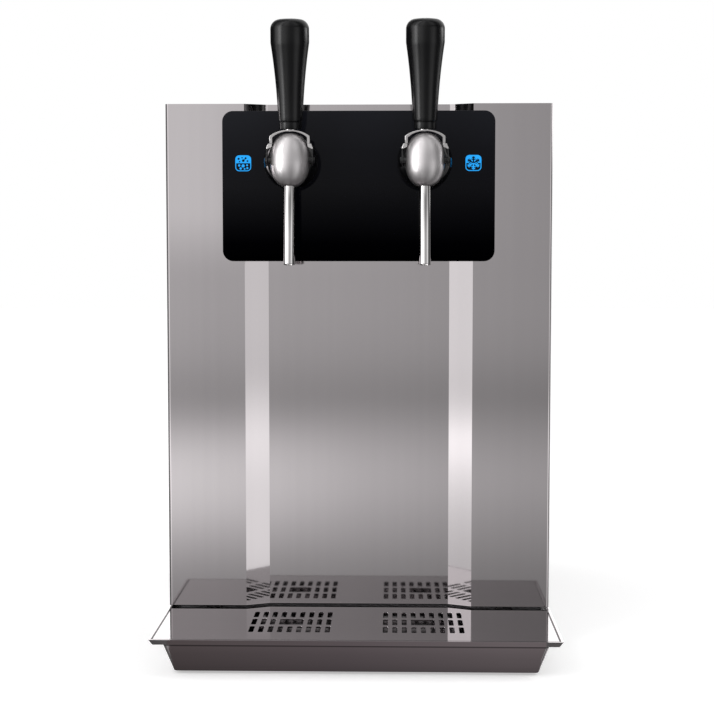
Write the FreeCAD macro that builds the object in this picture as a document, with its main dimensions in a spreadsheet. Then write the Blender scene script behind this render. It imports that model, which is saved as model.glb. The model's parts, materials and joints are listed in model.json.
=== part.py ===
import FreeCAD, Part
import math
import os
import re
import Sketcher

# Countertop water dispenser: chilled and sparkling water, two lever taps over a drip tray.
# Millimetres. +Z is up, the front faces -Y and +X is the right-hand side seen from the front.
# The origin is on the table, under the middle of everything that is exported.

doc = FreeCAD.newDocument("water_dispenser")
sheet = doc.addObject("Spreadsheet::Sheet", "sizes")

SIZES = [
    # housing
    ("house_wide", 390.0, "width over the side panels"),
    ("house_deep", 420.0, "flank face to rear panel"),
    ("house_top", 551.4, "table to the top edge"),
    ("fitting_reach", 21.8, "how far the rear fittings stand out"),
    ("front_skin", 1.5, "front, rear and base sheet"),
    ("wrap_skin", 1.2, "side and top sheet"),
    ("bend_radius", 3.0, "outside bend of the front sheet"),
    ("flank_inner", 115.4, "centre line to the flank's inner edge"),
    ("centre_half", 92.05, "half the centre face"),
    ("recess_deep", 10.3, "centre face behind the flanks"),
    ("front_return", 16.0, "side return of the front sheet"),
    ("panel_gap", 0.4, "joint between outer sheets"),
    ("foot_gap", 1.4, "front sheet above the drip grate"),
    ("flange", 12.0, "folded edge of the side sheets"),
    ("foot_tall", 10.0, "rubber foot"),
    ("foot_radius", 19.0, "rubber foot"),
    ("foot_inset", 36.0, "foot centre in from the housing side"),
    ("bolt_radius", 1.95, "case screw shank"),
    ("bolt_hole", 2.05, "case screw hole"),
    # drip tray and grate
    ("tray_reach", 132.2, "tray front before the flank face"),
    ("tray_tuck", 14.5, "tray behind the centre face"),
    ("grate_top", 38.0, "table to the top of the grate"),
    ("lip_over", 0.75, "lip beyond the housing side"),
    ("lip_tall", 5.5, "height of the lip"),
    ("lip_slope", 3.4, "lip's lower edge in from its top edge"),
    ("tray_step", 11.2, "body wall in from the lip edge"),
    ("tray_draft", 18.7, "slope of the body wall, degrees"),
    ("tray_lift", 2.7, "table to the tray's underside"),
    ("pad_inset", 45.75, "tray pads and guides in from the lip edge"),
    ("tray_skin", 1.5, "tray sheet"),
    ("rim_flat", 2.3, "flat top of the rim"),
    ("grate_gap", 1.2, "joint between rim and grate"),
    ("grate_skin", 1.5, "grate sheet"),
    ("sheet_gap", 0.7, "grate before the front sheet"),
    ("guide_play", 0.3, "rim under its guides"),
    ("slot_wide", 4.95, "slot"),
    ("slot_long", 22.4, "slot"),
    ("slot_pitch", 9.22, "slot to slot"),
    ("row_pitch", 29.2, "row to row"),
    ("slot_columns", 9, "slots in a row"),
    ("slot_rows", 3, "rows in a group"),
    ("slot_first", 25.5, "centre line to the first slot"),
    ("row_first", 19.9, "flank face to the first row"),
    ("slot_corner", 1.1, "slot corner"),
    # glass panel
    ("glass_wide", 273.4, "glass"),
    ("glass_tall", 150.2, "glass"),
    ("glass_under", 98.1, "tap axis to the lower edge of the glass"),
    ("glass_skin", 3.0, "glass"),
    ("glass_corner", 10.8, "glass corner"),
    ("glass_proud", 8.0, "glass face before the flank face"),
    ("carrier_inset", 8.0, "carrier in from the glass edge"),
    ("icon_aside", 115.0, "lit sign from the centre line"),
    # taps, measured from the glass face and the tap axis
    ("tap_aside", 65.8, "tap axis from the centre line"),
    ("tap_drop", 59.9, "housing top to the tap axis"),
    ("ball_radius", 27.4, "ball"),
    ("ball_out", 22.0, "ball centre before the glass"),
    ("ball_face", 40.0, "front rim of the ball before the glass"),
    ("neck_radius", 15.0, "ball neck on the glass"),
    ("shank_radius", 10.0, "threaded shank"),
    ("shank_long", 48.0, "shank behind the glass face"),
    ("shank_play", 0.5, "shank in its panel holes"),
    ("bore_radius", 4.5, "water way"),
    ("nose_out", 41.0, "nose centre before the glass"),
    ("nose_half_wide", 19.5, "nose"),
    ("nose_half_tall", 26.7, "nose"),
    ("nose_seat", 34.0, "seat of the nose before the glass"),
    ("nose_play", 0.15, "joint between ball and nose"),
    ("boss_radius", 3.0, "boss on the nose round the pivot screw"),
    ("spout_lean", 8.5, "spout leans forward, degrees"),
    ("spout_radius", 6.2, "spout tube outside"),
    ("spout_bore", 4.6, "spout tube inside"),
    ("spout_drop", 101.0, "axis to the spout's end"),
    ("spout_start", 14.0, "axis to the spout's seat in the nose"),
    ("pivot_out", 45.0, "lever pivot before the glass"),
    ("pivot_radius", 2.0, "pivot screw"),
    ("pivot_play", 0.06, "ear on its pivot screw"),
    ("screw_head", 3.0, "pivot screw head radius"),
    ("ear_inner", 21.6, "ear's inner face from the tap axis"),
    ("ear_skin", 1.2, "ear"),
    ("ear_radius", 5.6, "ear round the pivot"),
    ("yoke_top", 29.4, "yoke arch over the pivot"),
    ("yoke_corner", 23.4, "yoke shoulder over the pivot"),
    ("yoke_half", 20.4, "half the yoke's width"),
    ("leg_wide", 3.4, "yoke leg"),
    ("leg_foot", 15.9, "yoke leg's lower end over the pivot"),
    ("arch_skin", 1.9, "yoke arch"),
    ("leg_front", 0.6, "yoke leg's front face behind the pivot"),
    ("yoke_deep", 6.0, "yoke leg, front to back"),
    ("band_deep", 27.0, "yoke top, front to back"),
    ("band_half", 13.0, "half the yoke's top"),
    ("lever_back", 18.1, "handle axis behind the pivot"),
    ("lever_lean", 5.5, "lever leans forward at rest, degrees"),
    ("collar_foot", 29.85, "collar over the pivot"),
    ("collar_tall", 7.6, "collar"),
    ("collar_radius", 11.1, "collar"),
    ("handle_tall", 98.2, "handle"),
    ("handle_foot_radius", 12.1, "handle foot"),
    ("handle_mid_radius", 14.4, "handle halfway up the taper"),
    ("handle_radius", 18.85, "handle top"),
    ("handle_round", 9.4, "rounding of the handle's top"),
    ("handle_straight", 23.0, "straight part at the handle's top"),
    ("stud_radius", 4.0, "handle stud"),
    ("stud_long", 44.0, "handle stud"),
    ("stud_play", 0.05, "stud in its holes"),
    ("plunger_radius", 2.0, "valve plunger"),
    ("plunger_head", 4.2, "valve plunger head"),
    # inside
    ("deck_top", 233.5, "deck under the ice bank"),
    ("tank_side", 43.8, "side sheet to the ice bank tank"),
    ("tank_deep", 250.0, "ice bank tank"),
    ("tank_drop", 82.9, "housing top to the tank's rim"),
    ("tank_wall", 22.0, "tank insulation"),
    ("tank_y", 20.0, "tank centre"),
    ("lid_skin", 8.0, "tank lid"),
    ("coil_room", 40.0, "coil to the tank's side walls"),
    ("coil_room_deep", 15.0, "coil to the tank's front and rear walls"),
    ("coil_tube", 4.0, "evaporator tube radius"),
    ("coil_drop", 39.0, "tank's rim to the top of the coil"),
    ("coil_turns", 8, "evaporator coil"),
    ("vessel_radius", 45.0, "carbonator"),
    ("vessel_lift", 16.0, "carbonator over the tank floor"),
    ("vessel_neck", 34.0, "carbonator neck"),
    ("stirrer_side", 23.0, "stirrer axis from the tank wall"),
    ("stirrer_y", -60.0, "stirrer axis"),
    ("stirrer_radius", 3.0, "stirrer shaft"),
    ("stirrer_motor", 28.0, "stirrer motor radius"),
    ("compressor_inset", 100.0, "compressor axis from the housing side"),
    ("compressor_y", 150.0, "compressor axis"),
    ("compressor_radius", 68.0, "compressor shell"),
    ("compressor_tall", 172.0, "compressor shell"),
    ("fan_inset", 95.0, "fan axis from the housing side"),
    ("fan_z", 94.0, "fan axis"),
    ("fan_radius", 70.0, "fan blade tip"),
    ("shroud_half", 80.0, "half the fan shroud"),
    ("condenser_y", 205.0, "condenser face"),
    ("condenser_deep", 40.0, "condenser"),
    ("fan_shaft", 3.0, "fan motor shaft radius"),
    # rear fittings
    ("inlet_radius", 13.2, "three-quarter inch water thread"),
    ("gas_radius", 4.0, "eight millimetre gas tube"),
    ("drain_radius", 8.0, "drain spigot"),
    ("fitting_z", 300.0, "row of rear fittings"),
    ("knob_radius", 15.0, "thermostat knob"),
    ("control_inset", 45.0, "column of rear controls from the housing side"),
    ("knob_z", 170.0, "thermostat knob"),
    ("power_z", 60.0, "power inlet"),
    ("switch_z", 92.0, "mains switch"),
    ("switch_tilt", 8.0, "rocker off its middle, degrees"),
]

for row, (name, value, note) in enumerate(SIZES, start=1):
    sheet.set("A%d" % row, name)
    sheet.set("B%d" % row, str(value))
    sheet.set("C%d" % row, note)
    sheet.setAlias("B%d" % row, name)
doc.recompute()


class Dim:
    """A size: its present value and the sheet expression that gives it."""

    def __init__(self, value, text):
        self.value = float(value)
        self.text = text

    def __add__(self, other):
        other = dim(other)
        return Dim(self.value + other.value, "(%s + %s)" % (self.text, other.text))

    def __radd__(self, other):
        return dim(other) + self

    def __sub__(self, other):
        other = dim(other)
        return Dim(self.value - other.value, "(%s - %s)" % (self.text, other.text))

    def __rsub__(self, other):
        return dim(other) - self

    def __mul__(self, other):
        other = dim(other)
        return Dim(self.value * other.value, "(%s * %s)" % (self.text, other.text))

    def __rmul__(self, other):
        return dim(other) * self

    def __truediv__(self, other):
        other = dim(other)
        return Dim(self.value / other.value, "(%s / %s)" % (self.text, other.text))

    def __neg__(self):
        return Dim(-self.value, "(0 - %s)" % self.text)


def dim(thing):
    return thing if isinstance(thing, Dim) else Dim(thing, "%g" % thing)


def root(thing):
    return Dim(math.sqrt(thing.value), "sqrt(%s)" % thing.text)


def tangent(degrees):
    return Dim(math.tan(math.radians(degrees.value)), "tan(%s * 1 deg)" % degrees.text)


def cosine(degrees):
    return Dim(math.cos(math.radians(degrees.value)), "cos(%s * 1 deg)" % degrees.text)


class Sizes:
    pass


S = Sizes()
for name, value, note in SIZES:
    setattr(S, name, Dim(value, "sizes." + name))


# ---------------------------------------------------------------- helpers

NODES = []


def bind(thing, prop, size, unit=""):
    size = dim(size)
    text = size.text if re.search("[a-z]", size.text) else "0 + " + size.text
    thing.setExpression(prop, "(%s)%s" % (text, unit))


def place(thing, x=0, y=0, z=0, turn=None, angle=None):
    """Puts a thing at x, y, z; turn is an axis and angle a size in degrees or a number."""
    if turn is not None:
        degrees = angle.value if isinstance(angle, Dim) else angle
        thing.Placement = FreeCAD.Placement(FreeCAD.Vector(0, 0, 0), FreeCAD.Rotation(turn, degrees))
        if isinstance(angle, Dim):
            bind(thing, "Placement.Rotation.Angle", angle, " * 1 deg")
    for axis, size in (("x", x), ("y", y), ("z", z)):
        bind(thing, "Placement.Base." + axis, size)
    return thing


def node(thing, label):
    thing.Label = label
    NODES.append(thing)
    return thing


def block(name, x0, x1, y0, y1, z0, z1):
    """A box between six limits."""
    thing = doc.addObject("Part::Box", name)
    for prop, low, high in (("Length", x0, x1), ("Width", y0, y1), ("Height", z0, z1)):
        bind(thing, prop, dim(high) - dim(low))
    return place(thing, x0, y0, z0)


AXES = {
    "z": None,
    "y": FreeCAD.Vector(-1, 0, 0),
    "x": FreeCAD.Vector(0, 1, 0),
}


def rod(name, radius, length, x, y, z, along="z"):
    """A cylinder that starts at x, y, z and runs in the positive direction of one axis."""
    thing = doc.addObject("Part::Cylinder", name)
    bind(thing, "Radius", radius)
    bind(thing, "Height", length)
    return place(thing, x, y, z, AXES[along], 90 if AXES[along] else None)


def taper(name, low_radius, high_radius, length, x, y, z, along="z"):
    thing = doc.addObject("Part::Cone", name)
    bind(thing, "Radius1", low_radius)
    bind(thing, "Radius2", high_radius)
    bind(thing, "Height", length)
    return place(thing, x, y, z, AXES[along], 90 if AXES[along] else None)


def ball(name, radius, x, y, z):
    thing = doc.addObject("Part::Sphere", name)
    bind(thing, "Radius", radius)
    return place(thing, x, y, z)


def join(name, parts):
    thing = doc.addObject("Part::MultiFuse", name)
    thing.Shapes = parts
    thing.Refine = True
    return thing


def group(name, parts):
    """Separate solids that share one node."""
    thing = doc.addObject("Part::Compound", name)
    thing.Links = parts
    return thing


def cut(name, base, tools):
    thing = doc.addObject("Part::Cut", name)
    thing.Base = base
    thing.Tool = tools[0] if len(tools) == 1 else join(name + "_tools", tools)
    thing.Refine = True
    return thing


def common(name, parts):
    thing = doc.addObject("Part::MultiCommon", name)
    thing.Shapes = parts
    return thing


def new_body(name):
    return doc.addObject("PartDesign::Body", name)


def plane_of(body, role):
    for feature in body.Origin.OriginFeatures:
        if feature.Role == role:
            return feature


def new_sketch(body, name, plane, lift=0):
    """A sketch on one of the body's own planes, lifted along the plane's normal."""
    sketch = body.newObject("Sketcher::SketchObject", name)
    sketch.AttachmentSupport = (plane_of(body, plane + "_Plane"), [""])
    sketch.MapMode = "FlatFace"
    bind(sketch, "AttachmentOffset.Base.z", lift)
    return sketch


def hold(sketch, kind, geo, pos, size):
    """Ties one coordinate of a point to the sheet, measured from the sketch origin."""
    if abs(size.value) < 1e-9:
        axis = -2 if kind == "DistanceX" else -1
        sketch.addConstraint(Sketcher.Constraint("PointOnObject", geo, pos, axis))
        return
    flip = size.value < 0
    ends = (geo, pos, -1, 1) if flip else (-1, 1, geo, pos)
    amount = -size if flip else size
    index = sketch.addConstraint(Sketcher.Constraint(kind, *ends, amount.value))
    if re.search("[a-z]", amount.text):
        bind(sketch, "Constraints[%d]" % index, amount)


def draw(sketch, points):
    """A closed outline through points, each tied to the sheet in x and y."""
    points = [(dim(x), dim(y)) for x, y in points]
    first = sketch.GeometryCount
    spots = [FreeCAD.Vector(x.value, y.value, 0) for x, y in points]
    for spot, following in zip(spots, spots[1:] + spots[:1]):
        sketch.addGeometry(Part.LineSegment(spot, following), False)
    for step, (x, y) in enumerate(points):
        before = first + (step - 1) % len(points)
        sketch.addConstraint(Sketcher.Constraint("Coincident", before, 2, first + step, 1))
        hold(sketch, "DistanceX", first + step, 1, x)
        hold(sketch, "DistanceY", first + step, 1, y)


def ring(sketch, x, y, radius):
    x, y, radius = dim(x), dim(y), dim(radius)
    circle = Part.Circle(FreeCAD.Vector(x.value, y.value, 0), FreeCAD.Vector(0, 0, 1), radius.value)
    geo = sketch.addGeometry(circle, False)
    index = sketch.addConstraint(Sketcher.Constraint("Radius", geo, radius.value))
    bind(sketch, "Constraints[%d]" % index, radius)
    hold(sketch, "DistanceX", geo, 3, x)
    hold(sketch, "DistanceY", geo, 3, y)


def rectangle(x0, x1, y0, y1):
    return [(x0, y0), (x1, y0), (x1, y1), (x0, y1)]


def grow(body, kind, name, sketch, length, back=False, draft=None):
    """Pads or pockets a sketch; back reverses it and draft is its slope."""
    thing = body.newObject("PartDesign::" + kind, name)
    thing.Profile = sketch
    thing.Reversed = back
    bind(thing, "Length", length)
    if draft is not None:
        bind(thing, "TaperAngle", draft)
    sketch.Visibility = False
    return thing


def spin(body, name, sketch):
    """A full turn round the sketch's vertical axis."""
    thing = body.newObject("PartDesign::Revolution", name)
    thing.Profile = sketch
    thing.ReferenceAxis = (sketch, ["V_Axis"])
    thing.Angle = 360
    return thing


def round_edges(body, name, radius, pick):
    """Fillets the edges of the body's tip that pick(edge) accepts."""
    doc.recompute()
    tip = body.Tip
    edges = ["Edge%d" % (i + 1) for i, edge in enumerate(tip.Shape.Edges) if pick(edge)]
    thing = body.newObject("PartDesign::Fillet", name)
    thing.Base = (tip, edges)
    bind(thing, "Radius", radius)
    return thing


def is_vertical(edge):
    ends = edge.Vertexes
    if len(ends) != 2:
        return False
    a, b = ends[0].Point, ends[1].Point
    return abs(a.x - b.x) < 1e-4 and abs(a.y - b.y) < 1e-4 and abs(a.z - b.z) > 1e-3


def at(edge, x=None, y=None, z=None, near=0.05):
    """Whether all of an edge's ends lie on the given x, y or z."""
    for vertex in edge.Vertexes:
        for wanted, found in ((x, vertex.X), (y, vertex.Y), (z, vertex.Z)):
            if wanted is not None and abs(abs(found) - abs(wanted)) > near:
                return False
    return True


def route(name, radius, points):
    """A pipe with mitred corners through sheet-sized points."""
    spots = [FreeCAD.Vector(*[dim(c).value for c in point]) for point in points]
    first_run = spots[1] - spots[0]
    section = Part.Wire(Part.makeCircle(dim(radius).value, spots[0], first_run))
    thing = doc.addObject("Part::Feature", name)
    thing.Shape = Part.makePolygon(spots).makePipeShell([section], True, False, 1)
    return thing


# ---------------------------------------------------------------- shared places

flank_y = (S.tray_reach - S.house_deep - S.fitting_reach) / 2
centre_y = flank_y + S.recess_deep
back_y = flank_y + S.house_deep
side_x = S.house_wide / 2
inner_x = side_x - S.wrap_skin
panel_foot = S.grate_top + S.foot_gap
tray_back = centre_y + S.tray_tuck
glass_y = flank_y - S.glass_proud
glass_back = glass_y + S.glass_skin
pan_top = S.foot_tall + S.front_skin
lip_half = side_x + S.lip_over
pad_x = lip_half - S.pad_inset
tap_z = S.house_top - S.tap_drop
glass_low = tap_z - S.glass_under
lid_z = S.house_top - S.tank_drop
lid_top = lid_z + S.lid_skin
tank_half = inner_x - S.tank_side
tank_floor = S.deck_top + S.tank_wall
water_half = tank_half - S.tank_wall
stirrer_x = S.stirrer_side - water_half
compressor_x = S.compressor_inset - side_x
fan_x = side_x - S.fan_inset
control_x = S.control_inset - side_x
coil_x = dim(20)
coil_half = water_half - S.coil_room
coil_low = tank_floor + 14
coil_pitch = (lid_z - S.coil_drop - coil_low) / S.coil_turns
tube_radius = dim(4)
feed_x = tank_half + 18
pan_front = tray_back + 12
SIDES = (("left", -1), ("right", 1))
TUBE_PORTS = {
    "port_left": (-60, -60),
    "port_right": (60, -60),
    "port_feed": (100, -55),
    "port_out": (coil_x + coil_half, S.tank_y + 14),
}


# ---------------------------------------------------------------- housing

def make_front_panel():
    """One folded sheet: two flanks, two facets, a set-back centre and side returns."""
    body = new_body("front_panel")
    run = S.flank_inner - S.centre_half
    shift = S.front_skin * (root(run * run + S.recess_deep * S.recess_deep) - run) / S.recess_deep
    outer = [(side_x, flank_y + S.front_return), (side_x, flank_y), (S.flank_inner, flank_y),
             (S.centre_half, centre_y)]
    inner = [(S.centre_half + shift, centre_y + S.front_skin),
             (S.flank_inner + shift, flank_y + S.front_skin),
             (side_x - S.front_skin, flank_y + S.front_skin),
             (side_x - S.front_skin, flank_y + S.front_return)]
    points = outer + [(-x, y) for x, y in reversed(outer)] + [(-x, y) for x, y in reversed(inner)] + inner
    plan = new_sketch(body, "front_plan", "XY", panel_foot)
    draw(plan, points)
    grow(body, "Pad", "front_sheet", plan, S.house_top - panel_foot)
    corner_x, corner_y = side_x.value, flank_y.value
    inside = corner_x - S.front_skin.value, corner_y + S.front_skin.value
    round_edges(body, "outer_bends", S.bend_radius,
                lambda e: is_vertical(e) and at(e, x=corner_x, y=corner_y))
    round_edges(body, "inner_bends", S.bend_radius - S.front_skin,
                lambda e: is_vertical(e) and at(e, x=inside[0], y=inside[1]))
    holes = new_sketch(body, "front_holes", "XZ", -(centre_y + S.front_skin + 1))
    for sign in (-1, 1):
        ring(holes, sign * S.tap_aside, tap_z, S.shank_radius + S.shank_play)
    grow(body, "Pocket", "shank_holes", holes, S.recess_deep + 4, back=True)
    wires = new_sketch(body, "wire_holes_plan", "XZ", -(flank_y + S.front_skin + 1))
    for sign in (-1, 1):
        ring(wires, sign * (S.icon_aside + 8), tap_z, 3)
    grow(body, "Pocket", "wire_holes", wires, 6, back=True)
    return node(body, "front_panel")


def make_side_panel(side, sign):
    """A flat side sheet with folded top and back edges, a notch over the tray and two rows of louvres."""
    body = new_body("side_panel_" + side)
    front = flank_y + S.front_return + S.panel_gap
    notch = tray_back + 2
    low = S.foot_tall
    profile = new_sketch(body, side + "_profile", "YZ", inner_x if sign > 0 else -side_x)
    draw(profile, [(notch, low), (back_y, low), (back_y, S.house_top), (front, S.house_top),
                   (front, panel_foot), (notch, panel_foot)])
    grow(body, "Pad", side + "_sheet", profile, S.wrap_skin)
    edge = inner_x - S.flange
    x0, x1 = (edge, inner_x) if sign > 0 else (-inner_x, -edge)
    top_fold = new_sketch(body, side + "_top_plan", "XY", S.house_top - 2 * S.wrap_skin)
    draw(top_fold, rectangle(x0, x1, front, back_y - S.front_skin))
    grow(body, "Pad", side + "_top_fold", top_fold, S.wrap_skin)
    back_fold = new_sketch(body, side + "_back_plan", "XY", low + 2 * S.front_skin)
    draw(back_fold, rectangle(x0, x1, back_y - S.front_skin - S.wrap_skin, back_y - S.front_skin))
    grow(body, "Pad", side + "_back_fold", back_fold, S.house_top - S.wrap_skin - low - 2 * S.front_skin)
    screw_plan = new_sketch(body, side + "_screw_plan", "XZ", -(back_y - S.front_skin + 1))
    for height in SCREW_HEIGHTS:
        ring(screw_plan, sign * screw_x, height, S.bolt_hole)
    grow(body, "Pocket", side + "_screw_holes", screw_plan, 4, back=True)
    louvre = new_sketch(body, side + "_louvre", "YZ", (inner_x if sign > 0 else -side_x) - 1)
    draw(louvre, rectangle(100, 190, 40, 44))
    hole = grow(body, "Pocket", side + "_louvre_cut", louvre, S.wrap_skin + 2, back=True)
    stack = body.newObject("PartDesign::LinearPattern", side + "_louvres")
    stack.Originals = [hole]
    stack.Direction = (plane_of(body, "Z_Axis"), [""])
    stack.Length = 130
    stack.Occurrences = 14
    body.Tip = stack
    return node(body, "side_panel_" + side)


screw_x = inner_x - S.flange / 2
SCREW_HEIGHTS = [dim(40), dim(200), dim(360), S.house_top - 30]


def make_top_cover():
    """The lid of the case; its front edge follows the folds of the front sheet."""
    body = new_body("top_cover")
    front_gap = S.front_skin + S.panel_gap
    x_edge = inner_x - 0.2
    points = [(x_edge, back_y - 0.2), (x_edge, flank_y + S.front_return),
              (x_edge - 2, flank_y + S.front_return), (x_edge - 2, flank_y + front_gap),
              (S.flank_inner + 1, flank_y + front_gap),
              (S.centre_half + 1, centre_y + front_gap)]
    plan = new_sketch(body, "top_plan", "XY", S.house_top - S.wrap_skin)
    draw(plan, points + [(-x, y) for x, y in reversed(points)])
    grow(body, "Pad", "top_sheet", plan, S.wrap_skin)
    edge = inner_x - S.flange - 1
    fold_y = back_y - S.front_skin - 1
    fold = new_sketch(body, "top_fold_plan", "XY", S.house_top - S.wrap_skin - 14)
    draw(fold, rectangle(-edge, edge, fold_y - S.wrap_skin, fold_y))
    grow(body, "Pad", "top_fold", fold, 14)
    return node(body, "top_cover")


def make_rear_panel():
    """The rear sheet with the condenser grille and the openings for fittings and controls."""
    body = new_body("rear_panel")
    outline = new_sketch(body, "rear_outline", "XZ", -back_y)
    edge = inner_x - 0.2
    draw(outline, rectangle(-edge, edge, S.foot_tall, S.house_top - S.wrap_skin))
    grow(body, "Pad", "rear_sheet", outline, S.front_skin)
    holes = new_sketch(body, "rear_holes_plan", "XZ", -(back_y + 1))
    ring(holes, -70, S.fitting_z, S.inlet_radius + 0.2)
    ring(holes, 0, S.fitting_z, S.gas_radius + 3.2)
    ring(holes, 70, S.fitting_z, S.drain_radius + 0.2)
    ring(holes, control_x, S.knob_z, 4.2)
    draw(holes, rectangle(control_x - 15, control_x + 15, S.power_z - 11, S.switch_z + 13))
    for sign in (-1, 1):
        for height in SCREW_HEIGHTS:
            ring(holes, sign * screw_x, height, S.bolt_hole + 0.15)
    grow(body, "Pocket", "rear_holes", holes, S.front_skin + 2, back=True)
    slot = new_sketch(body, "grille_slot", "XZ", -(back_y + 1))
    draw(slot, rectangle(fan_x - 72, fan_x + 72, S.fan_z - 68, S.fan_z - 63))
    hole = grow(body, "Pocket", "grille_cut", slot, S.front_skin + 2, back=True)
    stack = body.newObject("PartDesign::LinearPattern", "grille")
    stack.Originals = [hole]
    stack.Direction = (plane_of(body, "Z_Axis"), [""])
    stack.Length = 132
    stack.Occurrences = 13
    body.Tip = stack
    return node(body, "rear_panel")


def folded_pan(name, x_half, y0, y1, z, rise, skin, down=False):
    """A flat sheet with its two side edges folded up, or down."""
    low, high = (z - rise, z) if down else (z, z + rise)
    return [block(name + "_floor", -x_half, x_half, y0, y1, z - skin if down else z, z if down else z + skin),
            block(name + "_left", -x_half, -x_half + skin, y0, y1, low, high),
            block(name + "_right", x_half - skin, x_half, y0, y1, low, high)]


FEET = [(x, y) for x in (-1, 1) for y in (pan_front + 34, back_y - 40)]


def make_base():
    sheets = folded_pan("pan", inner_x, pan_front, back_y - 5, S.foot_tall, 16, S.front_skin)
    sheets.append(block("pan_front_fold", -inner_x, inner_x, pan_front, pan_front + S.front_skin,
                        S.foot_tall, S.foot_tall + 24))
    tools = []
    feet = []
    for number, (sign, y) in enumerate(FEET):
        x = sign * (side_x - S.foot_inset)
        tools.append(rod("foot_hole_%d" % number, 4.1, 6, x, y, S.foot_tall - 2))
        pieces = [taper("foot_pad_%d" % number, S.foot_radius - 2, S.foot_radius, S.foot_tall, x, y, 0),
                  rod("foot_neck_%d" % number, 4, S.front_skin + 1, x, y, S.foot_tall - 0.5),
                  taper("foot_barb_%d" % number, 5.6, 3.0, 6, x, y, pan_top)]
        feet.append(join("foot_%d" % number, pieces))
    node(cut("base_pan", join("pan_sheets", sheets), tools), "base_pan")
    node(group("housing_feet", feet), "housing_feet")


def make_bay_frame():
    """Closes the housing behind the drip tray and stiffens the front sheet's lower edge."""
    shelf_z = panel_foot + 3
    front = centre_y + S.front_skin
    half = side_x - 6
    parts = [block("bay_shelf", -half, half, front, pan_front, shelf_z, shelf_z + S.front_skin),
             block("bay_wall", -half, half, pan_front - S.front_skin, pan_front, S.foot_tall,
                   shelf_z + S.front_skin),
             block("bay_tab", -(S.centre_half - 4), S.centre_half - 4, front, front + S.front_skin, shelf_z,
                   shelf_z + 16)]
    for side, sign in SIDES:
        parts.append(block("tray_guide_" + side, sign * pad_x - 8, sign * pad_x + 8, front, tray_back - 1,
                           S.grate_top + S.guide_play, shelf_z))
    node(join("bay_frame", parts), "bay_frame")


def make_deck():
    parts = folded_pan("deck", inner_x, pan_front + 6, back_y - 60, S.deck_top, 22, S.front_skin, down=True)
    tools = [block("deck_pass_rear", -60, -30, 158, 190, S.deck_top - 6, S.deck_top + 4),
             rod("deck_pass_feed", tube_radius + 2, 10, feed_x, -55, S.deck_top - 6)]
    node(cut("deck", join("deck_sheets", parts), tools), "deck")


def make_case_screws():
    """Pan-head screws that hold the rear panel to the folded edges of the side panels."""
    screws = []
    for side, sign in SIDES:
        for number, height in enumerate(SCREW_HEIGHTS):
            tag = "%s_%d" % (side, number)
            head = taper("screw_head_" + tag, 4.0, 2.6, 2.4, sign * screw_x, back_y, height, "y")
            shank = rod("screw_shank_" + tag, S.bolt_radius, 8.5, sign * screw_x, back_y - 8, height, "y")
            slot = block("screw_slot_" + tag, sign * screw_x - 0.5, sign * screw_x + 0.5, back_y + 1.4,
                         back_y + 3, height - 1.9, height + 1.9)
            bar = block("screw_bar_" + tag, sign * screw_x - 1.9, sign * screw_x + 1.9, back_y + 1.4,
                        back_y + 3, height - 0.5, height + 0.5)
            screws.append(cut("screw_" + tag, join("screw_blank_" + tag, [head, shank]), [slot, bar]))
    node(group("case_screws", screws), "case_screws")


# ---------------------------------------------------------------- glass panel

def make_glass():
    body = new_body("glass_panel")
    face = new_sketch(body, "glass_outline", "XZ", -glass_back)
    draw(face, rectangle(-S.glass_wide / 2, S.glass_wide / 2, glass_low, glass_low + S.glass_tall))
    grow(body, "Pad", "glass_sheet", face, S.glass_skin)
    round_edges(body, "glass_corners", S.glass_corner,
                lambda e: at(e, x=S.glass_wide.value / 2) and abs(e.Vertexes[0].Y - e.Vertexes[-1].Y) > 1)
    holes = new_sketch(body, "glass_holes", "XZ", -(glass_back + 1))
    for sign in (-1, 1):
        ring(holes, sign * S.tap_aside, tap_z, S.shank_radius + S.shank_play)
    grow(body, "Pocket", "glass_shank_holes", holes, S.glass_skin + 2, back=True)
    doc.recompute()
    polished = S.glass_skin * 0.2
    face_y = glass_y.value
    round_edges(body, "polished_edge", polished,
                lambda e: all(abs(v.Y - face_y) < 0.01 for v in e.Vertexes)
                and not (e.Curve.TypeId == "Part::GeomCircle" and e.Curve.Radius < S.glass_corner.value + 0.5
                         and abs(e.Curve.Center.z - tap_z.value) < 1))
    return node(body, "glass_panel")


def make_carrier():
    """A moulded block between glass and sheet: thin over the flanks, deep in the centre recess."""
    low, high = glass_low + S.carrier_inset, glass_low + S.glass_tall - S.carrier_inset
    half = S.glass_wide / 2 - S.carrier_inset
    plate = block("carrier_plate", -half, half, glass_back, flank_y, low, high)
    pad_half = S.centre_half - 4
    pad = block("carrier_pad", -pad_half, pad_half, flank_y, centre_y, low, high)
    tools = []
    lights = []
    for side, sign in SIDES:
        x = sign * S.tap_aside
        tools.append(rod("carrier_hole_" + side, S.shank_radius + S.shank_play, 30, x, glass_y, tap_z, "y"))
        icon = sign * S.icon_aside
        tools.append(block("icon_pocket_" + side, icon - 11, icon + 11, glass_back, flank_y,
                           tap_z - 11, tap_z + 11))
        board = block("icon_board_" + side, icon - 10.8, icon + 10.8, flank_y - 1.6, flank_y,
                      tap_z - 10.8, tap_z + 10.8)
        lamps = [block("icon_lamp_%s_%d" % (side, n), icon - 7 + 5 * n, icon - 3 + 5 * n, flank_y - 2.8,
                       flank_y - 1.6, tap_z - 2, tap_z + 2) for n in range(3)]
        lights.append(join("icon_light_" + side, [board] + lamps))
    node(cut("panel_carrier", join("carrier_blank", [plate, pad]), tools), "panel_carrier")
    node(group("icon_lights", lights), "icon_lights")


# ---------------------------------------------------------------- taps

def tap_y(out):
    """Distance in front of the glass, as a y."""
    return glass_y - out


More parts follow.
